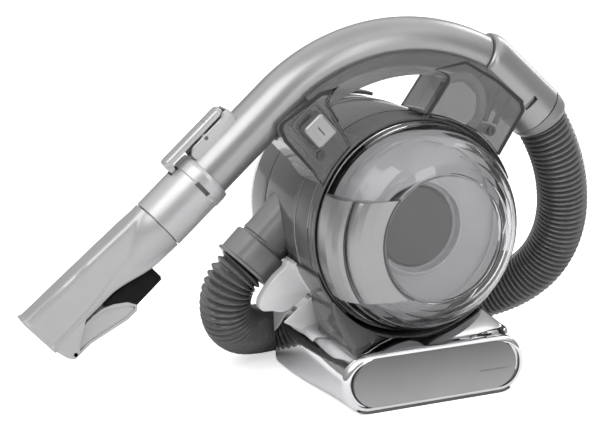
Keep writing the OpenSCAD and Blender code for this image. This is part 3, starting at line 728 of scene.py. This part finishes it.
def stadium_ring(width, height, inset, y, z_low, side=28, flat=12):
    """A ring of points round a stadium, shrunk by inset, at one depth."""
    r = height / 2 - inset
    middle = (width - height) / 2
    z_mid = z_low + height / 2
    ends = [polar(r, -90 + 180 * k / side) for k in range(side + 1)]
    points = [(middle + x, z) for x, z in ends]
    points += [(middle * (1 - 2 * k / flat), r) for k in range(1, flat)]
    points += [(-middle - x, -z) for x, z in ends]
    points += [(middle * (2 * k / flat - 1), -r) for k in range(1, flat)]
    return [(x - BASE_SHIFT, y, z_mid + z) for x, z in points]


def front_panel():
    """Lacquered stadium plate, gently crowned, with the slot of the charge light."""
    width, height, low = PANEL_W - 0.5, PANEL_H - 0.5, PANEL_LOW + 0.25
    steps = [(0.6, BASE_FRONT + 3.4), (0, BASE_FRONT + 3), (0, BASE_FRONT - 0.3)]
    for k in range(1, 7):
        inwards, forwards = polar(1, 15 * k)
        steps.append((0.9 * (1 - inwards), BASE_FRONT - 0.3 - 0.7 * forwards))
    reach, crown = 18.3, 0.9
    for inset in (2.5, 4.5, 7, 9.5, 12, 14.5, 16.5, 18):
        rise = crown * (1 - ((reach - inset) / reach) ** 2)
        steps.append((inset, BASE_FRONT - 1.0 - rise))
    plate_mesh = skin([stadium_ring(width, height, inset, y, low) for inset, y in steps])
    light_slot = box(31, 60, BASE_FRONT - 3, BASE_FRONT - 1.35, 20, 21)
    piece("panel_plate", carved(plate_mesh, light_slot), PANEL, stands_for=["front_panel"], crease=28)
    # A near-black ring behind the panel's edge: painted shadow in the gap between the panel and the
    # chrome.
    gap_shade = [stadium_ring(PANEL_W + 1.5, PANEL_H + 1.5, 0, y, PANEL_LOW - 0.75)
            for y in (BASE_FRONT + 2.9, BASE_FRONT + 4)]
    piece("panel_gap_shade", skin(gap_shade), PAINTED_SHADE)


def cradle():
    """Silver saddle under the drum, with a flared wing, its flank and its toe on the left."""
    front = [(-70, 98.2), (-78.5, 93.6), (-80.2, 95.2), (-82.6, 95.4), (-84.4, 93.2),
             (-86, 90), (-93, 84.5), (-99.5, 77.5), (-104.5, 70.5), (-106.6, 65.5),
             (-106.2, 61.2), (-103, 58.6), (-96, 57.8), (-90, 56.2), (-84, 57.2), (-77.5, 61),
             (-70, 66.4), (-60, 71.4), (-53, 73.4)]
    edge = [(p.x, p.y) for p in curve_through([(x, z, 0) for x, z in front], 6)]
    wing = plate([edge + [(-40, 88)]], 5.2, 14.3, bevel=1.1)
    drum_cut = rod(BAND_R + 0.3, -6, 70, steps=180)
    duct_cut = rod(25.5, -10, 50, DUCT, 96)
    hollow = prism([(-72, 90), (-82, 87), (-98, 72), (-101, 63), (-88, 60.5), (-72, 68)], 7.4, 18)
    wing = carved(wing, drum_cut, duct_cut.copy(), hollow)
    # the flank runs back from the wing's foot, on the base's left wall, and sinks as it goes
    flank = []
    for k in range(22):
        y = 12 + (BASE_BACK - 1 - 12) * k / 21
        turn = max(0, y - (BASE_BACK - BASE_CORNER)) / BASE_CORNER
        x = -BASE_LEFT + 0.85 * BASE_CORNER * (1 - math.sqrt(max(1 - turn ** 2, 0)))
        top = 57.5 - 9.5 * eased(10, 40, y)
        low = 54.5 - 31 * eased(8, 62, y)
        flank.append([(x - 0.15, y, low), (x - 0.9, y, low + 0.4), (x - 1.1, y, low + 1.4),
                      (x - 1.1, y, top - 3), (x - 0.2, y, top - 0.6), (x + 1.4, y, top),
                      (x + 3.4, y, top - 0.4), (x + 3.4, y, top - 4), (x - 0.15, y, top - 5)])
    piece("cradle_flank", skin(flank), WHITE_SILVER, crease=50)
    toe = rounded([(-88.3, 48.5, 1), (-76, 58, 0), (-69.7, 62, 0), (-60.2, 69, 0), (-58, 50, 2),
                   (-55, 39.5, 1), (-66.5, 36, 1)], 1)
    toe = carved(plate([toe], 3.2, 5.1, bevel=0.5), rod(BAND_R + 0.5, -6, 70, steps=180))
    piece("cradle_toe", toe, WHITE_SILVER, crease=50)
    piece("cradle_wing", wing, WHITE_SILVER,
          stands_for=["cradle"], crease=40)
    bottom = oblong(BAND_R + 0.6, BAND_R + 2.5, -2.8, BASE_BACK - 2, 0.8)
    saddle = carved(lathe(bottom, DRUM, 200, 340, 90), duct_cut)
    piece("cradle_saddle", saddle, WHITE_SILVER)


def lower_housing():
    """Dark smoke moulding under the bowl, with a skirt that spreads onto the base's left side."""
    rings = []
    bottom, top = BASE_H - 1.2, 75
    for k in range(25):
        t = k / 24
        z = bottom + (top - bottom) * t
        spread = (1 - t) ** 1.7
        left = -69.2 + 6.9 * spread
        tip = -46 - 22 * (1 - t) ** 1.15
        inner = -66 + 36 * (1 - t) ** 1.1
        corner = rounded([(left, tip, 3 + 3 * spread), (left, -3.6, 0.8), (inner, -3.6, 0.8),
                          (inner, max(tip, -46) + 0.5, 2)], 1, 9)
        rings.append([(p.x, p.y, z) for p in corner])
    skirt = carved(skin(rings), rod(BAND_R + 0.5, -90, 30, steps=180))
    band = lathe(oblong(BAND_R + 0.5, BAND_R + 2.5, -44, -4, 0.8), DRUM, 200, 340, 90)
    piece("lower_smoke", joined(skirt, band), SMOKE_DEEP, stands_for=["lower_housing"])


# ---- drum ----

def spoke_axes(degrees):
    """A place's axes with X along a spoke of the drum and Y along its axis."""
    x, z = polar(1, degrees)
    return (x, 0, z), (0, 1, 0), (-z, 0, x)


def drum():
    """Motor housing, front ring, rear rim and vent cover, each turned with rounded edges."""
    inside = HOUSING_R - WALL
    body = lathe(oblong(inside, HOUSING_R, -3.8, 57, 0.7), steps=160)
    piece("motor_shell", carved(body, rod(19.7, 22, 80, DUCT, 64)), SMOKE_DEEP,
          stands_for=["motor_housing"])
    front = oblong(inside, HOUSING_R - 0.3, -38.4, -4.2, 0.5)
    divider = oblong(22, inside + 0.1, -12, -9.5, 0.8)
    piece("front_ring", joined(lathe(front), lathe(divider)), DARK,
          stands_for=["front_housing"])
    rear = rounded([(HOUSING_R + 0.4, 57.3), (HOUSING_R + 0.4, 62, 3), (80, 88), (77.4, 88),
                    (HOUSING_R - 2, 62, 3), (HOUSING_R - 2, 57.3)], 0.7)
    piece("rear_ring", lathe(rear, steps=160), SMOKE_DEEP, stands_for=["rear_housing"])
    cover = rounded([(79.9, 88.3), (80.4, 91, 3), (79, 94.5, 3), (75, 97, 4), (0, 97), (0, 94.6),
                     (74, 94.6, 2), (77.3, 92, 2), (77.2, 88.3)], 0.5)
    slots = []
    for ring_r, count, length in ((50, 24, 28), (20, 8, 16)):
        for k in range(count):
            spoke = place((0, 0, AXIS_Z), *spoke_axes(360 / count * k))
            slots.append(box(ring_r - length / 2, ring_r + length / 2, 90, 100, -1.6, 1.6, spoke))
    piece("vent_disc", softened(carved(lathe(cover, steps=144), joined(*slots)), 0.4, 2), PALE,
          stands_for=["vent_cover"])
    tab = oblong(HOUSING_R + 0.9, BAND_R + 1.4, 80.2, 93.8, 0.7)
    piece("vent_tab", softened(lathe(tab, DRUM, 74, 97, 24), 0.6), HOSE_GREY,
          stands_for=["vent_catch"])


# ---- inlet ----

def inlet():
    """Duct up into the drum, its catch, and the hose's cuff with a flange at the lower end."""
    length = (DUCT_IN - DUCT_OUT).length
    duct = rounded([(17.6, 8.5), (20.3, 8.5), (20.3, 22), (19.2, 23.2), (19.2, 24.4),
                    (20.0, 25.4), (19.5, 30, 3), (19.5, length), (17.6, length)], 0.35)
    drum_hole = rod(HOUSING_R - WALL - 0.8, 5, 75, steps=96)
    duct = carved(lathe(duct, DUCT, steps=96), drum_hole)
    piece("duct_tube", duct, CUFF_GREY, stands_for=["inlet_duct"])
    cuff = rounded([(18.6, 0.2), (24.8, 0.2), (24.8, 2.2), (23.2, 3.2), (22.9, 21.4, 1.5),
                    (21.6, 22.5), (20.6, 22.5), (20.6, 8.2), (18.6, 8.2)], 0.5)
    piece("hose_cuff_ring", lathe(cuff, DUCT, steps=120), CUFF_GREY, stands_for=["hose_cuff"])
    round_duct = Matrix.Rotation(math.radians(118), 3, DUCT_WAY)
    spot = place(DUCT_OUT, round_duct @ Vector((0, 1, 0)), DUCT_WAY, round_duct @ DUCT_UP)
    catch = plate([oblong(-3, 3, 24.8, 31, 1.2)], 18.6, 21.0, spot, 0.5)
    piece("duct_catch", catch, DARK)


# ---- smoke frame ----

def frame_solid(outlines, low, high):
    """One solid from overlapping outlines, filled between two depths."""
    # no two of them end in one plane, which a union can't take
    apart = 0.04
    first, *others = [prism(outline, low - apart * k, high + apart * k)
                      for k, outline in enumerate(outlines)]
    return carved(first, *others, how="UNION")


def frame_outlines(inset):
    """The frame in X and Z: a saddle under the wand, with a leg at either end."""
    low, high = ARC_R - 22 + inset, ARC_R - 6 - inset
    centre = (ARC_X, ARC_Z)
    bend = arc(centre, high, 45.5 + inset / 2.4, 126.5, 56) + arc(centre, low, 126.5, 46, 56)
    # a steep edge moves in by more than the inset along one axis, hence the factors
    k = inset
    left = rounded([(-76 + k, 229 - 1.2 * k, 4), (-92 + k, 219 - k, 6),
                    (-108.6 + 1.3 * k, 207.6 - 0.2 * k, 6), (-103.6 + 1.3 * k, 195.6 + 0.6 * k, 6),
                    (-84 + 1.2 * k, 174, 6), (-72, 158, 0), (-46, 180, 0),
                    (-52.4 - 1.2 * k, 188.5, 5), (-63 - 1.2 * k, 208, 8),
                    (-71 - k, 222 + k, 9), (-62, 232, 0)], 1, 6)
    right = rounded([(14, 239, 0), (27 + 1.4 * k, 234, 10), (14 + 1.4 * k, 216, 8),
                     (4.6 + 1.4 * k, 203.4, 2), (24, 160, 0), (66 - 1.4 * k, 166, 0),
                     (90.6 - 1.4 * k, 203.5, 3), (88.6 - k, 211.6 - k, 2), (66, 229 - k, 6),
                     (40, 244 - k, 0)], 1, 6)
    return [bend, left, right]


def frame_ribs(around):
    """Screw posts, slim ribs and the pale wire duct behind the front face, and near-black strips of
    painted shade along the front face's outlines.
    """
    parts = [lathe(oblong(1.7, 4.2, -41.9, -21, 0.3), facing(x, z), steps=32)
             for x, z in ((-76, 184), (62, 190.5))]
    ribs = [((80.5, 217.5), (67.5, 194.5)), ((70, 220.8), (58.4, 197.3)),
            ((27, 228), (9, 203)), ((48, 178), (62, 172)),
            ((-101, 204), (-77, 174.5)), ((-91, 214), (-98, 206)), ((-60.5, 207), (-70, 222)),
            ((-66, 194), (-58, 184)), ((-88, 184), (-70, 170))]
    half = 0.6
    for (x0, z0), (x1, z1) in ribs:
        way = Vector((x1 - x0, z1 - z0)).normalized() * half
        outline = [(x0 + way.y, z0 - way.x), (x1 + way.y, z1 - way.x), (x1 - way.y, z1 + way.x),
                   (x0 - way.y, z0 + way.x)]
        parts.append(plate([outline], -40.2, -33, bevel=0.15))
    piece("frame_ribs", joined(*parts), DARK)
    # near-black strips along the legs' outlines on the front face: painted shade at the clear shell's
    # edges
    edges = [carved(plate([outer, inner], -42.6, -41.2, bevel=0.2), *[m.copy() for m in around])
             for outer, inner in zip(frame_outlines(0.1)[1:], frame_outlines(2.0)[1:])]
    piece("frame_edge_shade", joined(*edges), PAINTED_SHADE)
    bend = curve_through([(28, -36, 231), (44.3, -36, 231), (55, -36, 219), (54.3, -36, 201),
                          (40.5, -36, 189), (30, -36, 185)], 8)
    duct = pipe(bend, lambda t: 3.6, lambda t: 2.8, Vector((0, 1, 0)), 32)
    piece("frame_wire_duct", carved(duct, around[0].copy()), PALE)


def smoke_frame():
    """Two smoked shells screwed together round the wand, ribbed inside, on an arc over the drum."""
    across = Vector((0, 1, 0))
    elbow_start = arc_point(28.6)
    elbow_way = (arc_point(54.8) - elbow_start).normalized()
    elbow_place = place(elbow_start, across, elbow_way.cross(across), elbow_way)
    tube = skin([ring_at(stop, TUBE_R + 0.3, 64) for stop in track(arc_path(-57, 31, 60), across)])
    around = [rod(BAND_R + 0.5, -60, 30, steps=180), tube, rod(22.9, -1, 60, elbow_place, 96)]
    for name, node, low, high, open_low, open_high in (
            ("frame_shell_front", "frame_front", -42, -20.2, -39.9, -15),
            ("frame_shell_rear", "frame_rear", -19.8, 0, -25, -2.1)):
        outer = frame_solid(frame_outlines(0), low, high)
        inner = frame_solid(frame_outlines(2.1), open_low, open_high)
        shell = carved(outer, inner, *[mesh.copy() for mesh in around])
        piece(name, shell, SMOKE, stands_for=[node], crease=34)
    frame_ribs(around)
    for mesh in around:
        bpy.data.meshes.remove(mesh)
    for name, a0, a1 in (("band_left", 122.5, 225.5), ("band_right", 20.5, 81.5)):
        ring = rounded([(HOUSING_R + 0.2, -4.1), (BAND_R, -4.1), (BAND_R, -7, 0.3),
                        (BAND_R - 0.7, -8, 0.3), (BAND_R - 0.7, -34, 0.3), (BAND_R, -35, 0.3),
                        (BAND_R, -38.4, 0.3), (BAND_R - 0.7, -39.2, 0.3), (BAND_R - 0.7, -43, 1),
                        (HOUSING_R + 0.9, -43.8), (HOUSING_R + 0.9, -38.5),
                        (HOUSING_R + 0.2, -38.5)], 0.4)
        piece(name, softened(lathe(ring, DRUM, a0, a1, 80), 0.4, 2, 50), SMOKE_DEEP,
              stands_for=["drum_band"] if a0 > 90 else ())


def band_insert():
    """Dark strip in the band's left recess, between two thin bright edges."""
    strip = oblong(BAND_R - 0.9, BAND_R - 0.2, -32.4, -10, 0.2)
    piece("band_strip", lathe(strip, DRUM, 139, 207, 60), DARK)
    parts = []
    for y, a0, a1 in ((-8.8, 139, 207), (-33.4, 139, 176)):
        edge = rounded([(BAND_R - 0.9, y - 0.6), (BAND_R + 0.2, y - 0.5), (BAND_R + 0.2, y + 0.5),
                        (BAND_R - 0.9, y + 0.6)], 0.3)
        parts.append(lathe(edge, DRUM, a0, a1, 60))
    piece("band_edges", joined(*parts), SILVER)


def power_slider():
    """Cushion-shaped button with a plain bar let into its face, in a frame as long as it slides."""
    x, z = polar(1, 49)
    spot = place((-79, 0, 203), (x, 0, -z), (z, 0, x), (0, -1, 0))
    size, travel = 10.2, 3.6

    def cushion(height, shrink):
        half = size - shrink
        outline = oblong(-half, half, 0.5 - half, half - 0.5, max(3.6 - shrink, 1), 8)
        return [(x, y, height) for x, y in outline]

    rings = [cushion(43.2, 0.5), cushion(43.2, 0), cushion(48.8, 0.4)]
    for k in range(1, 8):
        inwards, up = polar(1, 90 * k / 7)
        rings.append(cushion(48.8 + 2.4 * up, 0.4 + 2.1 * (1 - inwards)))
    rings += [cushion(51.1, 4.6), cushion(50.9, 6.4)]
    mark = box(-3.8, 3.8, -0.6, 0.6, 50.4, 53, spot)
    piece("power_button", carved(skin(rings, spot), mark), SILVER, body="slider",
          stands_for=["power_slider"], crease=40)
    bar = plate([oblong(-3.5, 3.5, -0.4, 0.4, 0.2)], 50.2, 50.75, spot, 0.1)
    piece("power_mark", bar, DARK, body="slider")
    stem = plate([oblong(-4, 4, -2.4, 2.4, 0.8)], 35, 43.6, spot, 0.4)
    piece("power_stem", stem, DARK, body="slider")
    rim = [oblong(-a - travel, a, -a, a, r, 6) for a, r in ((size + 2.4, 5), (size + 0.9, 4))]
    piece("power_frame", plate(rim, 41.6, 43.0, spot, 0.35), SMOKE_DEEP)


# ---- dust bowl ----

def bowl():
    """Clear bowl: flat front with a fine step, a full round shoulder and a seated rim."""
    outer = [(0, BOWL_FRONT), (45.6, BOWL_FRONT, 0.6), (46.4, BOWL_FRONT + 1.3, 0.2),
             (47.2, BOWL_FRONT + 1.3, 0.2), (48, BOWL_FRONT + 0.7, 0.6), (54, -83.2, 5),
             (60, -79.5, 8), (66, -73.6, 8), (70, -68.2, 8), (73.4, -61.5, 8), (76.2, -53, 8),
             (77.8, -48, 4), (78.3, -44.2, 2), (78.3, -41, 0.3)]
    inner = [(76.1, -41, 0.3), (75.4, -49, 8), (73.2, -56.6, 8), (69.8, -64.2, 8),
             (64.4, -72, 8), (58.6, -77.6, 8), (53, -81, 5), (48, -82.7, 3),
             (45, BOWL_FRONT + 2.5, 2), (0, BOWL_FRONT + 2.5)]
    profile = rounded(outer + inner, 0, 5)
    piece("bowl_shell", lathe(profile, steps=160), BOWL_CLEAR, body="bowl",
          stands_for=["dust_bowl"], crease=35)


def filter_stack():
    """Filter carrier with its cup ring and cage, and the dark cap seen through the bowl."""
    carrier = oblong(30.5, 71.7, -40.4, -37.6, 0.6)
    cup = rounded([(33.3, -47), (34.4, -47.2), (36, -45), (36.4, -41, 2), (38, -40.2),
                   (33.3, -40.2)], 0.5)
    rim = rounded([(64, -42.4), (66, -42.4), (66.6, -40.2), (63.4, -40.2)], 0.5)
    ribs = []
    for k in range(8):
        spoke = place((0, 0, AXIS_Z), *spoke_axes(45 * k))
        ribs.append(box(34.4, 36, -37.7, -15.6, -0.9, 0.9, spoke))
    back = oblong(30, 36, -16, -14, 0.3)
    piece("filter_carrier", joined(lathe(carrier), lathe(cup), lathe(rim), lathe(back), *ribs),
          CARRIER, body="bowl", stands_for=["filter_frame"])
    cap = rounded([(0, -42.4), (26, -43, 3), (28.6, -42.9, 1), (29.7, -41.6), (29.7, -39.2),
                   (0, -39.2)], 0.4)
    piece("filter_lid", lathe(cap), DARK, body="bowl", stands_for=["filter_cap"])


def latch():
    """Grip wrapped round the bowl's edge, and the thumb plate in front of it. Both end level."""
    low, high = 82.6, 156.7
    grip = rounded([(79.4, -46), (81.4, -46, 1), (82.3, -52, 3), (82.3, -64, 4), (80.4, -71, 4),
                    (78, -76.3, 2), (75, -78.3, 1.5), (73.6, -76, 1), (73, -66, 3),
                    (76.6, -56, 3)], 0.8)
    level_ends = plate([oblong(-100, -40, low, high, 0)], -95, -40, bevel=0.01)
    band = carved(lathe(grip, DRUM, 140, 226, 90), level_ends, how="INTERSECT")
    piece("latch_band", softened(band, 0.9), SILVER, body="bowl",
          stands_for=["latch_grip"])
    seam = lathe(oblong(47.5, 48.8, -88.4, -84.6, 0.4), DRUM, 137.5, 239, 72)
    piece("latch_seam", seam, DARK, body="bowl")
    thumb = rounded([(73, -79.6, 1), (72.4, -83, 2), (70.4, -85.4, 2), (66, -87.2, 4),
                     (58, -88.5, 6), (50.2, -89.1, 0.8), (49.1, -88.6, 0.6), (49.2, -87.5, 0.6),
                     (55, -85.5, 4), (60, -82, 4), (66, -76.7, 4), (69.6, -72.2, 1),
                     (72.2, -74, 1)], 0.8)
    low, high = low + 0.7, high - 0.4
    outer_r = 73.4
    side = arc((0, AXIS_Z), outer_r, 157, 211, 24)
    reach = [-math.sqrt(outer_r ** 2 - (z - AXIS_Z) ** 2) for z in (low, high)]
    shape = rounded([(-20, high, 0), (reach[1], high, 6), *side, (reach[0], low, 6),
                     (-20, low, 0)], 0, 8)
    thumb_plate = carved(lathe(thumb, DRUM, 138, 240, 100), plate([shape], -95, -60, bevel=0.01),
                         how="INTERSECT")
    piece("latch_plate", softened(thumb_plate, 1.0), SILVER, body="latch",
          stands_for=["latch_button"])


# ---- wand ----

def elbow_path(count):
    """The elbow's middle line: it leaves the tube's arc, runs straight and bends into the hose."""
    start, bend = arc_point(27.6), arc_point(30.5)
    turn, end = arc_point(54.8), arc_point(57.9)
    line = [(start.x, start.z, 0), (bend.x, bend.z, 10), (turn.x, turn.z, 14),
            (end.x, end.z, 0)]
    return [Vector((p.x, WAND_Y, p.y)) for p in rounded(line, 0, count, closed=False)]


def wand():
    """Bent tube with its elbow, the elbow's window and the cuff that holds the hose."""
    straight = [WAND_TOP + ALONG * s for s in (80, 60, 40, 20)]
    path = straight + arc_path(-SLOPE, 27.4, 64)
    side = Vector((0, 1, 0))
    tube = pipe(path, lambda t: TUBE_R, lambda t: TUBE_R - 1.7, side, 96)
    piece("wand_bend", tube, SILVER, body="wand", stands_for=["wand_grip", "wand_tube"], crease=50)
    line = spaced(elbow_path(12), 72)
    split = 62

    def elbow_r(t):
        ease = min(t / 0.1, 1)
        return TUBE_R + 2.2 + 1.9 * math.sqrt(1 - (1 - ease) ** 2) + 0.4 * t

    elbow = pipe(line[:split], elbow_r, lambda t: TUBE_R - 0.4, side, 96)
    window_turn = 46.7
    x, z = polar(1, window_turn)
    spot = place(arc_point(window_turn), (x, 0, -z), (z, 0, x), (0, -1, 0))
    window = plate([oblong(-2.1, 2.1, -12.6, -0.8, 0.5)], 16.5, 26, spot, 0.1)
    elbow = carved(elbow, window)
    piece("wand_bend_cover", elbow, SILVER, body="wand", stands_for=["wand_elbow"], crease=40)
    tongue = plate([oblong(-1.5, 1.5, -12, -1.4, 0.4)], 16.8, 19.4, spot, 0.2)
    piece("wand_catch", tongue, CUFF_GREY, body="wand")
    cuff = pipe(line[split:], lambda t: TUBE_R + 4.3 - 1.6 * max(0, t - 0.7) / 0.3,
                lambda t: TUBE_R - 0.4, side, 96)
    piece("wand_hose_cuff", cuff, CUFF_GREY, body="wand", stands_for=["wand_cuff"], crease=40)


def collar():
    """Sleeve over the tube's end, with a stepped rim, a size window and the lever's notch."""
    sleeve = rounded([(18.05, 74), (20.3, 74, 0.8), (20.9, 77.2, 0.6), (20.9, 84.5, 0.5),
                      (20.3, 85.3, 0.3), (20.3, 122.5, 0.9), (16.3, 122.5), (16.3, 80.1),
                      (18.05, 80.1)], 0.3)
    body = lathe(sleeve, WAND_AXIS, steps=128)
    front = place(WAND_TOP, ALONG, OUTWARD, (0, -1, 0))
    slot = plate([oblong(83.2, 86.4, -4.4, 7.8, 0.5)], 17.4, 26, front, 0.1)
    mark = plate([oblong(84.2, 86.4, -10.6, -6.4, 0.4)], 17.4, 24, front, 0.1)
    notch = plate([oblong(85.2, 92.4, 14.6, 30, 0.6)], -5.2, 5.2, WAND, 0.1)
    piece("collar_sleeve", carved(body, slot, mark, notch), PALE_SILVER, body="wand",
          stands_for=["wand_collar"], crease=35)
    strip = plate([oblong(83.6, 86, -4, 7.4, 0.4)], 16.6, 18.4, front, 0.1)
    piece("collar_scale", strip, DARK, body="wand")


def lever():
    """Rocker that frees the nozzle: one long thumb bar with a hook, between two low cheeks."""
    side = rounded([(34, 12, 0), (66, 12, 0), (73, 14, 5), (73, 20, 5), (69, 24, 5),
                    (40, 24, 3), (36.4, 26, 3), (33.2, 26, 3), (31.4, 20, 6)], 1, 6)
    halves = [plate([side], y, y + 2.3, WAND, 0.7) for y in (-9, 6.7)]
    foot = plate([rounded([(31.2, 15), (33.6, 15), (33.6, 25.4), (32.2, 25.8), (31.2, 20)], 1)],
                 -8, 8, WAND, 0.3)
    pin_place = place(WAND_TOP + ALONG * 57 + OUTWARD * 21.8, ALONG, OUTWARD, (0, 1, 0))
    parts = [carved(part, rod(TUBE_R + 0.02, 15, 95, WAND_AXIS), rod(1.5, -12, 12, pin_place, 24))
             for part in (*halves, foot)]
    piece("lever_cheeks", joined(*parts), PALE_SILVER, body="wand",
          stands_for=["lever_housing"])
    half, width, middle = 28.2, 6.1, 63
    outline = oblong(-half, half, -width, width, 4, 8)
    rings = []
    for height, shrink in ((24.7, 0.7), (24.8, 0.3), (25.2, 0), (28.0, 0), (28.9, 0.35),
                           (29.5, 1.0), (29.75, 1.9), (29.8, 2.8)):
        rings.append([(middle + x * (1 - shrink / half), height, z * (1 - shrink / width))
                      for x, z in outline])
    pad_line = box(49.6, 50.2, 29.35, 31, -8, 8, WAND)
    lug = rounded([(52, 25.4, 0), (53.6, 19.8, 1), (60.4, 19.8, 1), (62, 24.2, 2), (85.8, 24.2, 1),
                   (87.6, 18.7, 0.6), (91, 18.7, 0.6), (91.2, 26.4, 1), (88, 28, 1),
                   (60, 28, 0)], 0.5)
    bar = joined(carved(skin(rings, WAND), pad_line), plate([lug], -3.8, 3.8, WAND, 0.4))
    piece("lever_bar", bar, PALE_SILVER, body="lever", stands_for=["release_lever"])


# ---- nozzle ----

NOZZLE_S = 123.2


def nozzle_shape(s):
    """The nozzle's cross-section at a place: the flat blade, and the round body that runs out
    beneath it. Lowest and highest edge and half thickness, then the body's half width,
    half height and middle."""
    t = min(max((s - 123) / (MOUTH_S - 123), 0), 1)
    low = -18.9 + 1.6 * eased(0.0, 0.2, t) + 8.6 * eased(0.16, 0.52, t) + 0.8 * t
    high = 18.9 + 5.1 * t
    half = 8.6 + 2.6 * eased(0, 0.16, t) - 1.2 * t
    wide = max(19.1 - 8.2 * eased(0.0, 0.36, t), half + 0.15)
    crease = 17.5 - 16.5 * eased(0.0, 0.34, t) - 3.9 * eased(0.3, 0.7, t)
    rise = max((crease - low) / (1 + math.sqrt(max(1 - (half / wide) ** 2, 0))), 3)
    rise = max(rise, 19.0 * (1 - eased(0.0, 0.12, t)))
    return low, high, half, wide, rise, low + rise


def nozzle_ring(s, shrink=0.0, count=96):
    """The outline of the nozzle's cross-section, found outwards from the body's middle."""
    low, high, half, wide, rise, middle = nozzle_shape(s)
    low, high, half = low + shrink, high - shrink, half - shrink
    wide, rise = wide - shrink, rise - shrink
    blade_middle, blade_rise = (low + high) / 2, (high - low) / 2

    def outside(z, p):
        blade = (abs(z / half) ** 9 + abs((p - blade_middle) / blade_rise) ** 9) ** (1 / 9)
        body = math.hypot(z / wide, (p - middle) / rise)
        return min(blade, body) - 1 - 0.03 * math.exp(-((blade - body) / 0.05) ** 2)

    out = []
    for k in range(count):
        along, up = polar(1, 360 * k / count)
        near, far = 0.0, 60.0
        for _ in range(30):
            reach = (near + far) / 2
            if outside(along * reach, middle + up * reach) < 0:
                near = reach
            else:
                far = reach
        out.append((s, middle + up * near, along * near))
    return out


def nozzle():
    """Crevice nozzle: round at the collar, a flat blade at the mouth, with a rolled lip."""
    stations = 46
    places = [NOZZLE_S + (MOUTH_S - 4 - NOZZLE_S) * k / stations for k in range(stations + 1)]
    outer = [nozzle_ring(NOZZLE_S, 0.8)] + [nozzle_ring(s) for s in places]
    outer += [nozzle_ring(MOUTH_S - 3, -0.2), nozzle_ring(MOUTH_S - 2, -0.7),
              nozzle_ring(MOUTH_S - 0.8, -0.8), nozzle_ring(MOUTH_S - 0.4, -0.4)]
    inner = [nozzle_ring(s, 1.7) for s in places[3:] + [MOUTH_S - 0.2]]
    neck_hole = rod(14.2, 118, 134, WAND_AXIS, 64)
    piece("nozzle_blade", carved(skin(outer + inner[::-1], WAND), neck_hole), SILVER_BLADE,
          body="nozzle", stands_for=["crevice_nozzle"], crease=40)
    ear = rounded([(202, -5, 0), (235, -5, 0), (232.6, -17, 3), (229.9, -21.7, 2.5),
                   (224.8, -21.9, 2.5), (220, -17, 3), (212, -12, 4)], 1)
    ears = [plate([ear], z, z + 2.5, WAND, 0.6) for z in (-10.4, 7.9)]
    piece("nozzle_ears", joined(*ears), SILVER_BLADE, body="nozzle")


def brush():
    """Leaf-shaped flap with a raised rim, that carries a tuft of black bristles."""
    def leaf(k):
        return rounded([(229.8 - k, -18.8, 2), (229.2 - k, -21.6 + k, 1.5), (225, -22.8 + k, 2),
                        (214, -23.2 + k, 4), (185, -30.8 + k, 3), (176 + k, -31 + k, 1.5),
                        (172.9 + k, -28.2, 1.5), (176.4 + k, -21.2 - k, 3),
                        (184 + k, -14.8 - k, 6), (191.4, -11.2 - k, 6), (200, -9.6 - k, 5),
                        (211.6, -9.9 - k, 4), (221 - k, -14.6 - k, 4), (227.4 - k, -16.8, 2)], 1)

    shell = plate([leaf(0)], -6.5, 6.5, WAND, 0.5)
    rims = [plate([leaf(0), leaf(2.1)], z, z + 1.3, WAND, 0.4) for z in (-7.5, 6.2)]
    piece("brush_shell", joined(shell, *rims), SILVER_BLADE, body="brush",
          stands_for=["brush_flap"])
    random.seed(7)
    rows, columns, half_width = 17, 40, 6.9
    verts, faces = [], []
    for row in range(rows):
        for column in range(columns):
            u = min(max((column + random.uniform(-0.4, 0.4)) / (columns - 1), 0), 1)
            share = (row + random.uniform(-0.3, 0.3)) / (rows - 1)
            z = min(max(-half_width + 2 * half_width * share, -7.0), 7.0)
            p_tip = -27.6 + 16.2 * u
            reach = 147.2 + max(p_tip + 18.2, 0) * 2.55 + random.uniform(-0.2, 1.9)
            a = Vector((176 + 13 * u ** 1.3, -27.8 + 17.0 * u, z))
            b = Vector((reach, p_tip + random.uniform(-0.3, 0.3), z + random.uniform(-0.4, 0.4)))
            b.z = min(max(b.z, -7.2), 7.2)
            at = len(verts)
            for point, r in ((a, 0.34), (a.lerp(b, 0.5), 0.32), (b, 0.2)):
                verts += [point + Vector((0.3 * r, *polar(r, 120 * k))) for k in range(3)]
            for low in (at, at + 3):
                faces += [(low + k, low + (k + 1) % 3, low + 3 + (k + 1) % 3, low + 3 + k)
                          for k in range(3)]
            faces += [(at, at + 2, at + 1), (at + 6, at + 7, at + 8)]
    strands = mesh_from(verts, faces, WAND)
    core = plate([[(186, -14.2), (176.5, -22), (176, -26), (154, -25.6), (154, -20.4),
                   (162, -17.4), (171, -14.2)]], -5.4, 5.4, WAND, 0.3)
    piece("brush_tuft", joined(strands, core), BRISTLE, body="brush",
          stands_for=["brush_bristles"], crease=70)


# ---- CAD parts that keep their shape ----

CAD_FINISH = {
    DARK: ["frame_screws", "lever_pin", "brush_pin", "base_tray", "cell_holder",
           "motor_end_cap", "motor_spider", "fan_shroud", "inlet_channel", "power_switch",
           "exhaust_foam"],
    BLACK_RUBBER: ["base_pads", "bowl_seal", "motor_rings"],
    STEEL: ["base_screws", "lever_spring", "motor_shaft", "motor_can"],
    CELL: ["battery_cells"], BOARD: ["control_board"], FILTER_WHITE: ["filter_pleats"],
    FAN: ["impeller"], SILVER: ["nozzle_neck"],
}


def dress_cad():
    """Gives the carried-over CAD parts their materials."""
    for material, names in CAD_FINISH.items():
        for name in names:
            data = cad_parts[name].data
            data.materials.clear()
            data.materials.append(material)


for build in (camera, hose, floor, surroundings, lights, base, front_panel, cradle,
              lower_housing, drum, inlet, smoke_frame, band_insert, power_slider, bowl,
              filter_stack, latch, wand, collar, lever, nozzle, brush, dress_cad):
    build()
